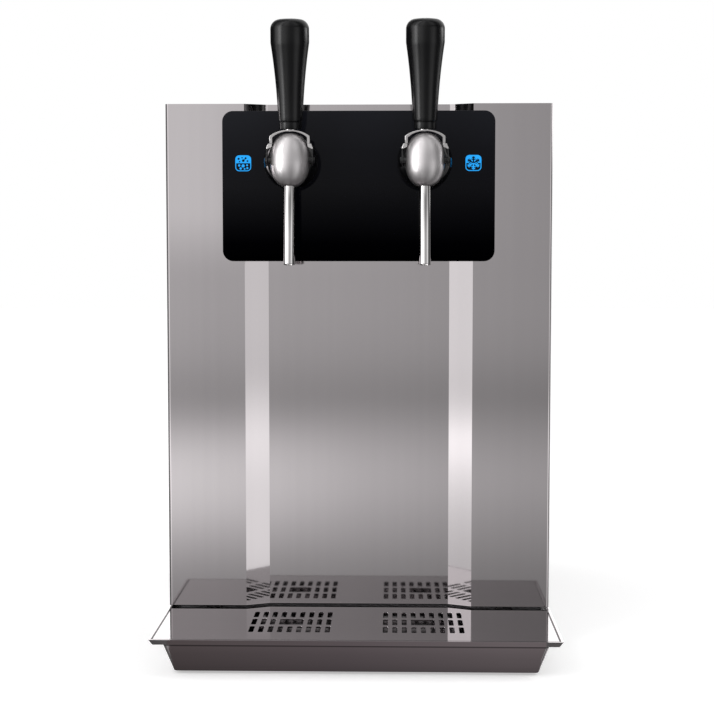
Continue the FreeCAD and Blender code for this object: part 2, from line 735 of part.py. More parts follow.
def nose_blank(name, x, extra):
    """An egg turned about the spout's axis."""
    egg = new_body(name)
    profile = new_sketch(egg, name + "_profile", "XZ", 0)
    wide, tall = S.nose_half_wide + extra, S.nose_half_tall + extra
    steps = 14
    outline = []
    for step in range(steps + 1):
        angle = math.pi * step / steps
        outline.append((wide * math.sin(angle), tall * -math.cos(angle)))
    draw(profile, outline)
    spin(egg, name + "_turn", profile)
    return place(egg, x, tap_y(S.nose_out), tap_z + 0.5, FreeCAD.Vector(1, 0, 0), -S.spout_lean)


def make_tap_body(side, x):
    """Ball with its threaded shank, and the nose seated in a pocket in the ball's front."""
    tag = "_" + side
    sphere = ball("ball_sphere" + tag, S.ball_radius, x, tap_y(S.ball_out), tap_z)
    neck = rod("ball_neck" + tag, S.neck_radius, 10, x, tap_y(10), tap_z, "y")
    shank = rod("ball_shank" + tag, S.shank_radius, S.shank_long + 6, x, tap_y(6), tap_z, "y")
    spigot = rod("ball_spigot" + tag, 2.9, 12, x, glass_y + S.shank_long, tap_z, "y")
    behind = block("ball_behind" + tag, x - 40, x + 40, glass_y, glass_y + 60, tap_z - 40,
                   tap_z + 40)
    front = cut("ball_trim" + tag, join("ball_front" + tag, [sphere, neck]), [behind])
    pocket = common("nose_pocket" + tag, [
        nose_blank("nose_room" + tag, x, S.nose_play),
        block("nose_room_front" + tag, x - 40, x + 40, tap_y(90), tap_y(S.nose_seat), tap_z - 40,
              tap_z + 40)])
    bore = rod("shank_bore" + tag, S.bore_radius, S.shank_long + S.nose_seat - 4, x, tap_y(S.nose_seat),
               tap_z, "y")
    outlet = rod("spigot_bore" + tag, 1.9, 20, x, glass_y + S.shank_long - 6, tap_z, "y")
    ahead = block("ball_ahead" + tag, x - 40, x + 40, tap_y(90), tap_y(S.ball_face), tap_z - 40, tap_z + 40)
    whole = join("ball_blank" + tag, [front, shank, spigot])
    node(cut("tap_ball" + tag, whole, [ahead, pocket, bore, outlet]), "tap_ball" + tag)

    egg = common("nose_front" + tag, [
        nose_blank("nose_egg" + tag, x, dim(0)),
        block("nose_keep" + tag, x - 40, x + 40, tap_y(90), tap_y(S.nose_seat), tap_z - 40,
              tap_z + 40)])
    boss_reach = S.ear_inner - 0.1
    bosses = rod("nose_bosses" + tag, S.boss_radius, 2 * boss_reach, x - boss_reach, tap_y(S.pivot_out),
                 tap_z, "x")
    way = rod("nose_way" + tag, S.bore_radius, 14, x, tap_y(S.nose_out + 7), tap_z, "y")
    socket = leaning_tube("nose_socket" + tag, x, S.spout_radius + 0.04, S.spout_start, 60)
    drop = leaning_tube("nose_drop" + tag, x, S.spout_bore, -2, 40)
    screw_room = rod("nose_screw_room" + tag, S.pivot_radius + 0.04, 60, x - 30, tap_y(S.pivot_out),
                     tap_z, "x")
    keep_core = rod("nose_core" + tag, 6, 24, x - 12, tap_y(S.pivot_out), tap_z, "x")
    screws = cut("nose_screw_holes" + tag, screw_room, [keep_core])
    node(cut("tap_nose" + tag, join("nose_blank" + tag, [egg, bosses]), [way, socket, drop, screws]),
         "tap_nose" + tag)

    tube_long = (S.spout_drop - S.spout_start) / cosine(S.spout_lean)
    tube = leaning_tube("spout_tube" + tag, x, S.spout_radius, S.spout_start, tube_long)
    hollow = leaning_tube("spout_hollow" + tag, x, S.spout_bore, S.spout_start - 1, tube_long + 4)
    node(cut("tap_spout" + tag, tube, [hollow]), "tap_spout" + tag)


def leaning_tube(name, x, radius, below, length):
    """A rod along the spout's axis that starts below the tap axis and runs down and forward."""
    thing = doc.addObject("Part::Cylinder", name)
    bind(thing, "Radius", radius)
    bind(thing, "Height", length)
    place(thing, x, tap_y(S.nose_out + dim(below) * tangent(S.spout_lean)), tap_z - below,
          FreeCAD.Vector(1, 0, 0), 180 - S.spout_lean)
    return thing


def make_lever(side, x):
    """Yoke, collar, handle and stud, drawn about the pivot and leaned forward together."""
    tag = "_" + side

    def seat(thing):
        return place(thing, x, tap_y(S.pivot_out), tap_z, FreeCAD.Vector(1, 0, 0), S.lever_lean)

    body = new_body("tap_yoke" + tag)
    ear_outer = S.ear_inner + S.ear_skin
    leg_inner = S.yoke_half - S.leg_wide
    arch = []
    for step in range(0, 7):
        x_out = S.yoke_half * (1 - step / 6)
        arch.append((x_out, S.yoke_top - (S.yoke_top - S.yoke_corner) * (1 - step / 6) * (1 - step / 6)))
    under = []
    for step in range(0, 6):
        x_in = leg_inner * (step / 5)
        under.append((x_in, S.yoke_top - S.arch_skin
                      - (S.yoke_top - S.yoke_corner) * (step / 5) * (step / 5) * 0.86))
    foot = 8.6
    right = [(ear_outer, foot - 2.4), (ear_outer, foot), (S.yoke_half + 0.3, S.leg_foot),
             (S.yoke_half, S.leg_foot)] + arch
    inner = under[1:] + [(leg_inner, S.leg_foot), (S.ear_inner, foot), (S.ear_inner, foot - 2.4)]
    outline = right + [(-x0, z0) for x0, z0 in reversed(right[:-1])] \
        + [(-x0, z0) for x0, z0 in reversed(inner)] + [under[0]] + inner
    front = new_sketch(body, "yoke_front" + tag, "XZ", -S.leg_front)
    draw(front, outline)
    grow(body, "Pad", "yoke_legs" + tag, front, S.yoke_deep, back=True)
    band = new_sketch(body, "yoke_band_outline" + tag, "XZ", 0.5 - S.leg_front - S.yoke_deep)
    tops = [p for p in arch if p[0].value <= S.band_half.value + 1]
    lows = [p for p in under if p[0].value <= S.band_half.value + 1]
    draw(band, tops + [(-x0, z0) for x0, z0 in reversed(tops[:-1])]
         + [(-x0, z0) for x0, z0 in reversed(lows[1:])] + lows)
    grow(body, "Pad", "yoke_band" + tag, band, S.band_deep, back=True)
    seat_boss = new_sketch(body, "yoke_boss_plan" + tag, "XY", S.yoke_top - S.arch_skin)
    ring(seat_boss, 0, S.lever_back, S.stud_radius + 2)
    grow(body, "Pad", "yoke_boss" + tag, seat_boss, S.collar_foot - S.yoke_top + S.arch_skin)
    for name, start in (("near", S.ear_inner), ("far", -ear_outer)):
        ear = new_sketch(body, "ear_%s%s" % (name, tag), "YZ", start)
        draw(ear, [(-S.ear_radius * 0.98, 0), (S.ear_radius * 0.98, 0), (S.leg_front + S.yoke_deep, foot),
                   (S.leg_front, foot)])
        grow(body, "Pad", "ear_strap_%s%s" % (name, tag), ear, S.ear_skin)
        eye = new_sketch(body, "eye_%s%s" % (name, tag), "YZ", start)
        ring(eye, 0, 0, S.ear_radius)
        grow(body, "Pad", "ear_eye_%s%s" % (name, tag), eye, S.ear_skin)
    pins = new_sketch(body, "pin_plan" + tag, "YZ", -30)
    ring(pins, 0, 0, S.pivot_radius + S.pivot_play)
    grow(body, "Pocket", "pin_holes" + tag, pins, 60, back=True)
    stud_plan = new_sketch(body, "stud_plan" + tag, "XY", S.yoke_top - 8)
    ring(stud_plan, 0, S.lever_back, S.stud_radius + S.stud_play)
    grow(body, "Pocket", "stud_hole" + tag, stud_plan, 20, back=True)
    node(seat(body), "tap_yoke" + tag)

    collar = new_body("lever_collar" + tag)
    plan = new_sketch(collar, "collar_plan" + tag, "XY", S.collar_foot)
    ring(plan, 0, S.lever_back, S.collar_radius)
    ring(plan, 0, S.lever_back, S.stud_radius + S.stud_play)
    grow(collar, "Pad", "collar_ring" + tag, plan, S.collar_tall)
    node(seat(collar), "lever_collar" + tag)

    handle = new_body("tap_handle" + tag)
    foot_z = S.collar_foot + S.collar_tall
    shoulder = foot_z + S.handle_tall - S.handle_straight
    taper_tall = S.handle_tall - S.handle_straight
    sections = []
    for part in range(5):
        up = part / 4
        radius = (S.handle_foot_radius * ((1 - up) * (1 - 2 * up)) + S.handle_mid_radius * (4 * up * (1 - up))
                  + S.handle_radius * (up * (2 * up - 1)))
        section = new_sketch(handle, "handle_ring_%d%s" % (part, tag), "XY", foot_z + taper_tall * up)
        ring(section, 0, S.lever_back, radius)
        sections.append(section)
    loft = handle.newObject("PartDesign::AdditiveLoft", "handle_taper" + tag)
    loft.Profile = sections[0]
    loft.Sections = sections[1:]
    loft.Ruled = True
    straight = new_sketch(handle, "handle_straight_plan" + tag, "XY", shoulder)
    ring(straight, 0, S.lever_back, S.handle_radius)
    grow(handle, "Pad", "handle_top" + tag, straight, S.handle_straight)
    top_z = (shoulder + S.handle_straight).value
    round_edges(handle, "handle_round" + tag, S.handle_round,
                lambda e: e.Vertexes and all(abs(v.Z - top_z) < 0.01 for v in e.Vertexes))
    thread = new_sketch(handle, "handle_thread_plan" + tag, "XY", foot_z - 1)
    ring(thread, 0, S.lever_back, S.stud_radius + S.stud_play)
    grow(handle, "Pocket", "handle_thread" + tag, thread, S.stud_long - S.collar_tall, back=True)
    node(seat(handle), "tap_handle" + tag)

    stud = new_body("handle_stud" + tag)
    stud_sketch = new_sketch(stud, "stud_ring" + tag, "XY", S.yoke_top - S.arch_skin)
    ring(stud_sketch, 0, S.lever_back, S.stud_radius)
    grow(stud, "Pad", "stud_bar" + tag, stud_sketch, S.stud_long)
    node(seat(stud), "handle_stud" + tag)

    screws = []
    for name, sign in (("near", 1), ("far", -1)):
        reach = ear_outer + 0.1
        start = x + sign * reach
        head = rod("pivot_head_%s%s" % (name, tag), S.screw_head, 1.4,
                   start if sign > 0 else start - 1.4, tap_y(S.pivot_out), tap_z, "x")
        shank = rod("pivot_shank_%s%s" % (name, tag), S.pivot_radius, 11,
                    start - 10.5 if sign > 0 else start - 0.5, tap_y(S.pivot_out), tap_z, "x")
        slot_x = start + 0.8 if sign > 0 else start - 2.4
        slot = block("pivot_slot_%s%s" % (name, tag), slot_x, slot_x + 1.6, tap_y(S.pivot_out + 0.5),
                     tap_y(S.pivot_out - 0.5), tap_z - 4, tap_z + 4)
        screws.append(cut("pivot_screw_%s%s" % (name, tag),
                          join("pivot_blank_%s%s" % (name, tag), [head, shank]), [slot]))
    node(group("pivot_screws" + tag, screws), "pivot_screws" + tag)


def make_tap_inside(side, x):
    tag = "_" + side
    stem = rod("plunger_stem" + tag, S.plunger_radius, 22, x, tap_y(S.nose_out + 3), tap_z, "y")
    head = rod("plunger_disc" + tag, S.plunger_head, 5, x, tap_y(S.nose_out + 3) + 22, tap_z, "y")
    nib = taper("plunger_cone" + tag, S.plunger_head, 2.2, 3, x, tap_y(S.nose_out + 3) + 27, tap_z, "y")
    node(join("tap_plunger" + tag, [stem, head, nib]), "tap_plunger" + tag)

    nut_y = centre_y + S.front_skin
    washer = rod("nut_washer" + tag, 15, 1.5, x, nut_y, tap_z, "y")
    nut = doc.addObject("Part::Prism", "nut_hex" + tag)
    nut.Polygon = 6
    bind(nut, "Circumradius", 15)
    bind(nut, "Height", 7)
    place(nut, x, nut_y + 1.5, tap_z, FreeCAD.Vector(-1, 0, 0), 90)
    hole = rod("nut_hole" + tag, S.shank_radius + 0.05, 20, x, nut_y - 2, tap_z, "y")
    node(cut("shank_nut" + tag, join("nut_blank" + tag, [washer, nut]), [hole]), "shank_nut" + tag)


# ---------------------------------------------------------------- drip tray

def make_tray():
    """A drafted sheet tray with a rolled lip and a ledge that the grate drops on."""
    body = new_body("drip_tray")
    front = flank_y - S.tray_reach
    lip_low = S.grate_top - S.lip_tall
    fall = lip_low - S.tray_lift
    draw_in = fall * tangent(S.tray_draft)

    def frame(inset):
        return rectangle(-(lip_half - inset), lip_half - inset, front + inset, tray_back - inset)

    lip = new_sketch(body, "lip_plan", "XY", S.grate_top)
    draw(lip, frame(dim(0)))
    slope = Dim(math.degrees(math.atan2(S.lip_slope.value, S.lip_tall.value)),
                "(atan(%s / %s) / 1 deg)" % (S.lip_slope.text, S.lip_tall.text))
    grow(body, "Pad", "lip", lip, S.lip_tall, back=True, draft=-slope)
    wall = new_sketch(body, "wall_plan", "XY", lip_low)
    draw(wall, frame(S.tray_step))
    grow(body, "Pad", "walls", wall, fall, back=True, draft=-S.tray_draft)
    low = S.tray_lift.value
    round_edges(body, "wall_corners", dim(4), lambda e: corner_edge(e, low, lip_low.value))
    round_edges(body, "lip_corners", dim(1.5), lambda e: corner_edge(e, lip_low.value, S.grate_top.value))
    seat = new_sketch(body, "seat_plan", "XY", S.grate_top)
    draw(seat, grate_outline(S.grate_gap))
    grow(body, "Pocket", "grate_seat", seat, S.grate_skin)
    hollow_inset = S.tray_step + S.tray_skin
    hollow = new_sketch(body, "hollow_plan", "XY", S.grate_top - S.grate_skin)
    draw(hollow, frame(hollow_inset))
    grow(body, "Pocket", "hollow", hollow, S.grate_top - S.grate_skin - S.tray_lift - S.tray_skin,
         draft=-S.tray_draft * 0.86)
    channel = new_sketch(body, "channel_plan", "XY", lip_low)
    draw(channel, frame(S.lip_slope + S.tray_skin))
    draw(channel, frame(S.tray_step - 0.8))
    grow(body, "Pocket", "lip_channel", channel, S.lip_tall - S.grate_skin - S.tray_skin, back=True)
    node(body, "drip_tray")
    pads = []
    for number, (x, y) in enumerate(((-pad_x, 40), (pad_x, 40), (-pad_x, 105), (pad_x, 105))):
        pads.append(rod("tray_pad_%d" % number, 8, S.tray_lift, x, front + y, 0))
    node(group("tray_pads", pads), "tray_pads")


def corner_edge(edge, z0, z1):
    """A sloping edge that runs all the way between two heights."""
    if len(edge.Vertexes) != 2:
        return False
    heights = sorted(v.Z for v in edge.Vertexes)
    return abs(heights[0] - z0) < 0.05 and abs(heights[1] - z1) < 0.05


def grate_outline(gap):
    """The plate's edge: straight on three sides, stepped behind to follow the front sheet."""
    inset = S.rim_flat + S.grate_gap - gap
    x = lip_half - inset
    back = S.sheet_gap - gap
    points = [(x, flank_y - S.tray_reach + inset), (x, flank_y - back),
              (S.flank_inner - back * 0.5, flank_y - back), (S.centre_half - back * 0.5, centre_y - back)]
    return points + [(-px, py) for px, py in reversed(points)]


def make_grate():
    """The perforated plate: two groups of slots, with a finger opening in each middle row."""
    body = new_body("drip_grate")
    plate = new_sketch(body, "grate_plan", "XY", S.grate_top - S.grate_skin)
    draw(plate, grate_outline(dim(0)))
    grow(body, "Pad", "grate_sheet", plate, S.grate_skin)
    row_y = flank_y - S.row_first
    slot = new_sketch(body, "slot_plan", "XY", S.grate_top + 1)
    rounded_slot(slot, S.slot_first, S.slot_first + S.slot_wide, row_y - S.slot_long, row_y)
    one = grow(body, "Pocket", "slot", slot, S.grate_skin + 2)
    columns = body.newObject("PartDesign::LinearPattern", "slot_columns_pattern")
    columns.Direction = (plane_of(body, "X_Axis"), [""])
    bind(columns, "Length", S.slot_pitch * (S.slot_columns - 1))
    bind(columns, "Occurrences", S.slot_columns)
    rows = body.newObject("PartDesign::LinearPattern", "slot_rows_pattern")
    rows.Direction = (plane_of(body, "Y_Axis"), [""])
    rows.Reversed = True
    bind(rows, "Length", S.row_pitch * (S.slot_rows - 1))
    bind(rows, "Occurrences", S.slot_rows)
    mirror = body.newObject("PartDesign::Mirrored", "slot_mirror")
    mirror.MirrorPlane = (plane_of(body, "YZ_Plane"), [""])
    grid = body.newObject("PartDesign::MultiTransform", "slot_grid")
    grid.Originals = [one]
    grid.Transformations = [columns, rows, mirror]
    body.Tip = grid
    doc.recompute()
    finger = new_sketch(body, "finger_plan", "XY", S.grate_top + 1)
    mid_low = row_y - S.row_pitch - S.slot_long
    start = S.slot_first + 3 * S.slot_pitch
    end = start + 2 * S.slot_pitch + S.slot_wide
    for sign in (-1, 1):
        x0, x1 = (start, end) if sign > 0 else (-end, -start)
        draw(finger, rectangle(x0 + 1, x1 - 1, mid_low, mid_low + S.slot_long))
    grow(body, "Pocket", "finger_openings", finger, S.grate_skin + 2)
    node(body, "drip_grate")


def rounded_slot(sketch, x0, x1, y0, y1):
    """A slot with clipped corners."""
    c = S.slot_corner
    draw(sketch, [(x0 + c, y0), (x1 - c, y0), (x1 - c * 0.3, y0 + c * 0.3), (x1, y0 + c), (x1, y1 - c),
                  (x1 - c * 0.3, y1 - c * 0.3), (x1 - c, y1), (x0 + c, y1), (x0 + c * 0.3, y1 - c * 0.3),
                  (x0, y1 - c), (x0, y0 + c), (x0 + c * 0.3, y0 + c * 0.3)])


# ---------------------------------------------------------------- cooling

def make_compressor():
    """A welded shell on four grommets, with its terminal cover and stub tubes."""
    x, y, z = compressor_x, S.compressor_y, pan_top + 14
    radius, tall = S.compressor_radius, S.compressor_tall
    shell = new_body("compressor_shell")
    profile = new_sketch(shell, "shell_profile", "XZ", 0)
    draw(profile, [(0, 0), (radius * 0.7, 0), (radius, 16), (radius, tall * 0.45), (radius + 4, tall * 0.45),
                   (radius + 4, tall * 0.45 + 4), (radius, tall * 0.45 + 4), (radius, tall - 34),
                   (radius * 0.9, tall - 16), (radius * 0.62, tall - 4), (0, tall)])
    spin(shell, "shell_turn", profile)
    place(shell, x, y, z)
    parts = [shell]
    tools = []
    grommets = []
    number = 0
    for sign_x in (-1, 1):
        for sign_y in (-1, 1):
            fx, fy = x + sign_x * 58, y + sign_y * 58
            parts.append(rod("compressor_eye_%d" % number, 15, 3, fx, fy, z))
            tools.append(rod("compressor_eye_hole_%d" % number, 7, 8, fx, fy, z - 2))
            rubber = join("grommet_%d" % number, [
                rod("grommet_low_%d" % number, 12, 14, fx, fy, pan_top),
                rod("grommet_neck_%d" % number, 6.9, 4, fx, fy, z - 0.5),
                rod("grommet_top_%d" % number, 11, 4, fx, fy, z + 3)])
            grommets.append(rubber)
            number += 1
    parts.append(block("compressor_rail_front", x - 66, x + 66, y - 66, y - 50, z, z + 3))
    parts.append(block("compressor_rail_rear", x - 66, x + 66, y + 50, y + 66, z, z + 3))
    parts.append(block("compressor_rail_cross", x - 20, x + 20, y - 60, y + 60, z, z + 3))
    parts.append(block("terminal_cover", x + radius - 6, x + radius + 13, y - 20, y + 20, z + 95, z + 140))
    parts.append(rod("process_tube", 4, 26, x - 30, y - 30, z + tall - 30))
    parts.append(rod("suction_stub", 4.5, 24, x + 30, y + 20, z + tall - 20))
    node(cut("compressor", join("compressor_blank", parts), tools), "compressor")
    node(group("compressor_grommets", grommets), "compressor_grommets")


def make_condenser():
    """A tube-and-fin block: end plates, fins and four tube runs."""
    x0, x1 = fan_x - 82, fan_x + 82
    y0, y1 = S.condenser_y, S.condenser_y + S.condenser_deep
    z0, z1 = pan_top, S.fan_z + 84
    parts = [block("condenser_end_left", x0, x0 + 1.5, y0, y1, z0, z1),
             block("condenser_end_right", x1 - 1.5, x1, y0, y1, z0, z1)]
    fins = 11
    for n in range(fins):
        fx = x0 + (x1 - x0) * ((n + 1) / (fins + 1))
        parts.append(block("fin_%d" % n, fx - 0.5, fx + 0.5, y0 + 2, y1 - 2, z0 + 6, z1 - 6))
    runs = 4
    for n in range(runs):
        run_z = z0 + (z1 - z0) * ((n + 0.5) / runs)
        parts.append(rod("condenser_run_%d" % n, 4.5, x1 - x0 + 12, x0 - 6, y0 + 20, run_z, "x"))
    node(join("condenser", parts), "condenser")


def make_fan():
    """Shroud with three motor arms, the motor behind it and the bladed rotor inside the ring."""
    x, z = fan_x, S.fan_z
    y1 = S.condenser_y - 0.4
    y0 = y1 - 30
    half = S.shroud_half
    plate = block("shroud_plate", x - half, x + half, y1 - 3, y1, pan_top, z + half)
    collar = rod("shroud_collar", S.fan_radius + 5, 30, x, y0, z, "y")
    room = rod("shroud_room", S.fan_radius + 2, 40, x, y0 - 4, z, "y")
    arms = [block("motor_arm_side", x - S.fan_radius - 4, x + S.fan_radius + 4, y0 - 3, y0, z - 6, z + 6),
            block("motor_arm_up", x - 6, x + 6, y0 - 3, y0, z - S.fan_radius - 4, z + S.fan_radius + 4),
            rod("motor_seat", 22, 3, x, y0 - 3, z, "y")]
    ringed = cut("shroud_ring", join("shroud_blank", [plate, collar]), [room])
    pass_hole = rod("motor_pass", 6, 20, x, y0 - 10, z, "y")
    arms_open = cut("motor_arms", join("motor_arm_blank", arms), [pass_hole])
    node(join("fan_shroud", [ringed, arms_open]), "fan_shroud")

    can = [rod("fan_can", 27, 42, x, y0 - 45, z, "y"), rod("fan_can_nose", 14, 3, x, y0 - 48, z, "y"),
           rod("fan_spindle", S.fan_shaft, 34, x, y0 - 8, z, "y")]
    trimmed = cut("fan_motor_can", join("fan_motor_blank", can), [
        rod("fan_spindle_clear", 5.8, 3.2, x, y0 - 3, z, "y")])
    spindle = rod("fan_spindle_long", S.fan_shaft, 26, x, y0 - 4, z, "y")
    node(join("fan_motor_whole", [trimmed, spindle]), "fan_motor")

    hub = rod("rotor_hub", 20, 20, x, y0 + 3, z, "y")
    blades = []
    for n in range(7):
        blade = doc.addObject("Part::Box", "blade_%d" % n)
        bind(blade, "Length", S.fan_radius - 18)
        bind(blade, "Width", 2)
        bind(blade, "Height", 30)
        turn = FreeCAD.Rotation(FreeCAD.Vector(0, 1, 0), n * 360 / 7)
        pitch = FreeCAD.Rotation(FreeCAD.Vector(1, 0, 0), 55)
        spot = turn.multVec(FreeCAD.Vector(17, 0, 0) + pitch.multVec(FreeCAD.Vector(0, -1, -15)))
        centre = FreeCAD.Vector(x.value, (y0 + 13).value, z.value)
        blade.Placement = FreeCAD.Placement(centre + spot, turn.multiply(pitch))
        bind(blade, "Placement.Base.x", x + spot.x)
        bind(blade, "Placement.Base.y", y0 + 13 + spot.y)
        bind(blade, "Placement.Base.z", z + spot.z)
        blades.append(blade)
    limit = rod("rotor_limit", S.fan_radius, 30, x, y0 - 1, z, "y")
    wheel = common("rotor_wheel", [join("rotor_blank", [hub] + blades), limit])
    bore = rod("rotor_bore", S.fan_shaft + 0.05, 24, x, y0, z, "y")
    node(cut("fan_rotor", wheel, [bore]), "fan_rotor")


def make_ice_bank():
    half_x, half_y = tank_half, S.tank_deep / 2
    y = S.tank_y
    shell = block("tank_shell", -half_x, half_x, y - half_y, y + half_y, S.deck_top, lid_z)
    wall = S.tank_wall
    water = block("tank_water", -water_half, water_half, y - half_y + wall, y + half_y - wall, tank_floor,
                  lid_z + 1)
    drain = rod("tank_drain", 4, 60, 100, y + half_y - 40, S.deck_top + 33, "y")
    node(cut("ice_tank", shell, [water, drain]), "ice_tank")

    plate = block("lid_plate", -half_x, half_x, y - half_y, y + half_y, lid_z, lid_top)
    plug = block("lid_plug", wall + 0.5 - half_x, half_x - wall - 0.5, y - half_y + wall + 0.5,
                 y + half_y - wall - 0.5, lid_z - 6, lid_z)
    holes = [rod("lid_stirrer", S.stirrer_radius + 0.1, 30, stirrer_x, S.stirrer_y + y, lid_z - 10),
             rod("lid_vessel", 7, 30, 20, y, lid_z - 10),
             rod("lid_gas", 4.3, 30, 40, y, lid_z - 10)]
    for name, (px, py) in TUBE_PORTS.items():
        holes.append(rod("lid_%s" % name, tube_radius + 0.2, 30, px, py, lid_z - 10))
    node(cut("tank_lid", join("lid_blank", [plate, plug]), holes), "tank_lid")


def make_coil():
    """The evaporator: a square coil of copper tube round the carbonator, hung by its outlet."""
    wide, deep = coil_half, S.tank_deep / 2 - S.tank_wall - S.coil_room_deep
    y = S.tank_y
    corners = [(coil_x + wide, y - deep), (coil_x + wide, y + deep), (coil_x - wide, y + deep),
               (coil_x - wide, y - deep)]
    top = lid_z - S.coil_drop
    points = []
    for turn in range(int(S.coil_turns.value)):
        for quarter, (px, py) in enumerate(corners):
            points.append((px, py, coil_low + coil_pitch * (turn + quarter / 4)))
    points.append((corners[0][0], corners[0][1], top))
    points.append((coil_x + wide, y, top))
    node(route("evaporator_coil", S.coil_tube, points), "evaporator_coil")


def make_vessel():
    """The carbonator: a domed steel vessel hung from the lid by its neck."""
    body = new_body("carbonator")
    radius = S.vessel_radius
    tall = lid_top - 1 - S.vessel_neck - tank_floor - S.vessel_lift
    profile = new_sketch(body, "vessel_profile", "XZ", 0)
    draw(profile, [(0, 0), (radius * 0.6, 2), (radius - 4, 10), (radius, 20), (radius, tall - 20),
                   (radius - 4, tall - 10), (radius * 0.6, tall - 3), (12, tall), (12, tall + 8),
                   (6.8, tall + 8), (6.8, tall + S.vessel_neck), (0, tall + S.vessel_neck)])
    spin(body, "vessel_turn", profile)
    place(body, coil_x, S.tank_y, tank_floor + S.vessel_lift)
    node(body, "carbonator")


def make_stirrer():
    x, y = stirrer_x, S.stirrer_y + S.tank_y
    can = [rod("stirrer_can", S.stirrer_motor, 46, x, y, lid_top + 1.5),
           rod("stirrer_flange", S.stirrer_motor + 7, 1.5, x, y, lid_top),
           rod("stirrer_cap", 12, 6, x, y, lid_top + 47.5)]
    bore = rod("stirrer_bore", S.stirrer_radius + 0.05, 25, x, y, lid_top - 1)
    node(cut("stirrer_motor", join("stirrer_motor_blank", can), [bore]), "stirrer_motor")
    shaft = [rod("stirrer_rod", S.stirrer_radius, 150, x, y, lid_top - 130),
             rod("stirrer_hub", 7, 14, x, y, lid_top - 134)]
    for n in range(3):
        vane = doc.addObject("Part::Box", "stirrer_vane_%d" % n)
        bind(vane, "Length", 18)
        bind(vane, "Width", 2)
        bind(vane, "Height", 12)
        turn = FreeCAD.Rotation(FreeCAD.Vector(0, 0, 1), n * 120)
        pitch = FreeCAD.Rotation(FreeCAD.Vector(1, 0, 0), 35)
        spot = turn.multVec(FreeCAD.Vector(5, 0, 0) + pitch.multVec(FreeCAD.Vector(0, -1, -6)))
        vane.Placement = FreeCAD.Placement(FreeCAD.Vector(0, 0, 0), turn.multiply(pitch))
        bind(vane, "Placement.Base.x", x + spot.x)
        bind(vane, "Placement.Base.y", y + spot.y)
        bind(vane, "Placement.Base.z", lid_top - 127 + spot.z)
        shaft.append(vane)
    node(join("stirrer_shaft", shaft), "stirrer_shaft")


def make_pump():
    """Motor and pump head on a foot bracket, ahead of the compressor."""
    z = pan_top + 40
    parts = [rod("pump_motor", 32, 90, 40, -55, z, "x"), rod("pump_ring", 35, 6, 124, -55, z, "x"),
             rod("pump_head", 26, 30, 128, -55, z, "x"),
             block("pump_foot", 44, 124, -78, -32, pan_top, pan_top + 2),
             block("pump_rib_a", 52, 58, -70, -40, pan_top, z),
             block("pump_rib_b", 108, 114, -70, -40, pan_top, z),
             rod("pump_inlet", 5, 30, 143, -35, z, "y"), rod("pump_outlet", 5, 34, 143, -55, z)]
    node(join("water_pump", parts), "water_pump")


def make_board():
    """Control board on four stand-offs on the left side panel."""
    x = 12 - inner_x
    parts = [block("board_sheet", x, x + 1.6, -60, 40, 90, 180),
             block("board_relay_a", x + 1.6, x + 17, -50, -34, 100, 128),
             block("board_relay_b", x + 1.6, x + 17, -24, -8, 100, 128),
             block("board_supply", x + 1.6, x + 22, 2, 34, 96, 130),
             block("board_plugs", x + 1.6, x + 13, -52, 30, 160, 174)]
    for n, (y, z) in enumerate(((-55, 95), (-55, 175), (35, 95), (35, 175))):
        parts.append(rod("board_post_%d" % n, 3, 12, -inner_x, y, z, "x"))
    node(join("control_board", parts), "control_board")


def make_tubes():
    """Soft lines: lid to the taps, water inlet to the pump, pump to the vessel, gas and drain."""
    shank_end = glass_y + S.shank_long
    inner_end = back_y - 30
    above = lid_top + 24
    pump_z = pan_top + 40
    tubes = []
    for side, sign in SIDES:
        x = sign * S.tap_aside
        px, py = TUBE_PORTS["port_" + side]
        tube = route("tube_run_" + side, tube_radius, [
            (x, shank_end + 2, tap_z), (x, py, tap_z), (px, py, tap_z), (px, py, lid_z - 20)])
        room = rod("tube_room_" + side, 3.0, 12, x, shank_end, tap_z, "y")
        tubes.append(cut("tube_" + side, tube, [room]))
    tubes.append(route("tube_supply", tube_radius, [
        (143, -5, pump_z), (143, 60, pump_z), (143, 60, 208), (0, 60, 208), (0, 222, 208),
        (0, 222, S.fitting_z), (-70, 222, S.fitting_z), (-70, inner_end, S.fitting_z)]))
    px, py = TUBE_PORTS["port_feed"]
    tubes.append(route("tube_feed", tube_radius, [
        (143, -55, pump_z + 34), (143, -55, 125), (feed_x, -55, 125), (feed_x, -55, above), (px, py, above),
        (px, py, lid_z - 20)]))
    tubes.append(route("tube_gas", dim(3.4), [
        (0, inner_end, S.fitting_z), (0, 190, S.fitting_z), (0, 190, above), (40, 190, above),
        (40, 20, above), (40, 20, lid_z - 14)]))
    tubes.append(route("tube_drain", dim(3.9), [
        (100, 126, S.deck_top + 33), (100, 200, S.deck_top + 33), (70, 200, S.deck_top + 33),
        (70, 200, S.fitting_z), (70, inner_end, S.fitting_z)]))
    node(group("water_tubes", tubes), "water_tubes")


def make_refrigerant_line():
    """The copper line from the compressor's stub up through the deck and into the ice bank."""
    x, y = compressor_x + 30, S.compressor_y + 20
    px, py = TUBE_PORTS["port_out"]
    coil_top = lid_z - S.coil_drop
    line = route("refrigerant_line", dim(3.2), [
        (x, y, pan_top + 18 + S.compressor_tall), (x, y, S.deck_top - 12), (-45, y, S.deck_top - 12),
        (-45, y, lid_top + 12), (px, y, lid_top + 12), (px, py, lid_top + 12), (px, py, coil_top),
        (px, S.tank_y + 0.3, coil_top)])
    node(line, "refrigerant_line")


# ---------------------------------------------------------------- rear fittings

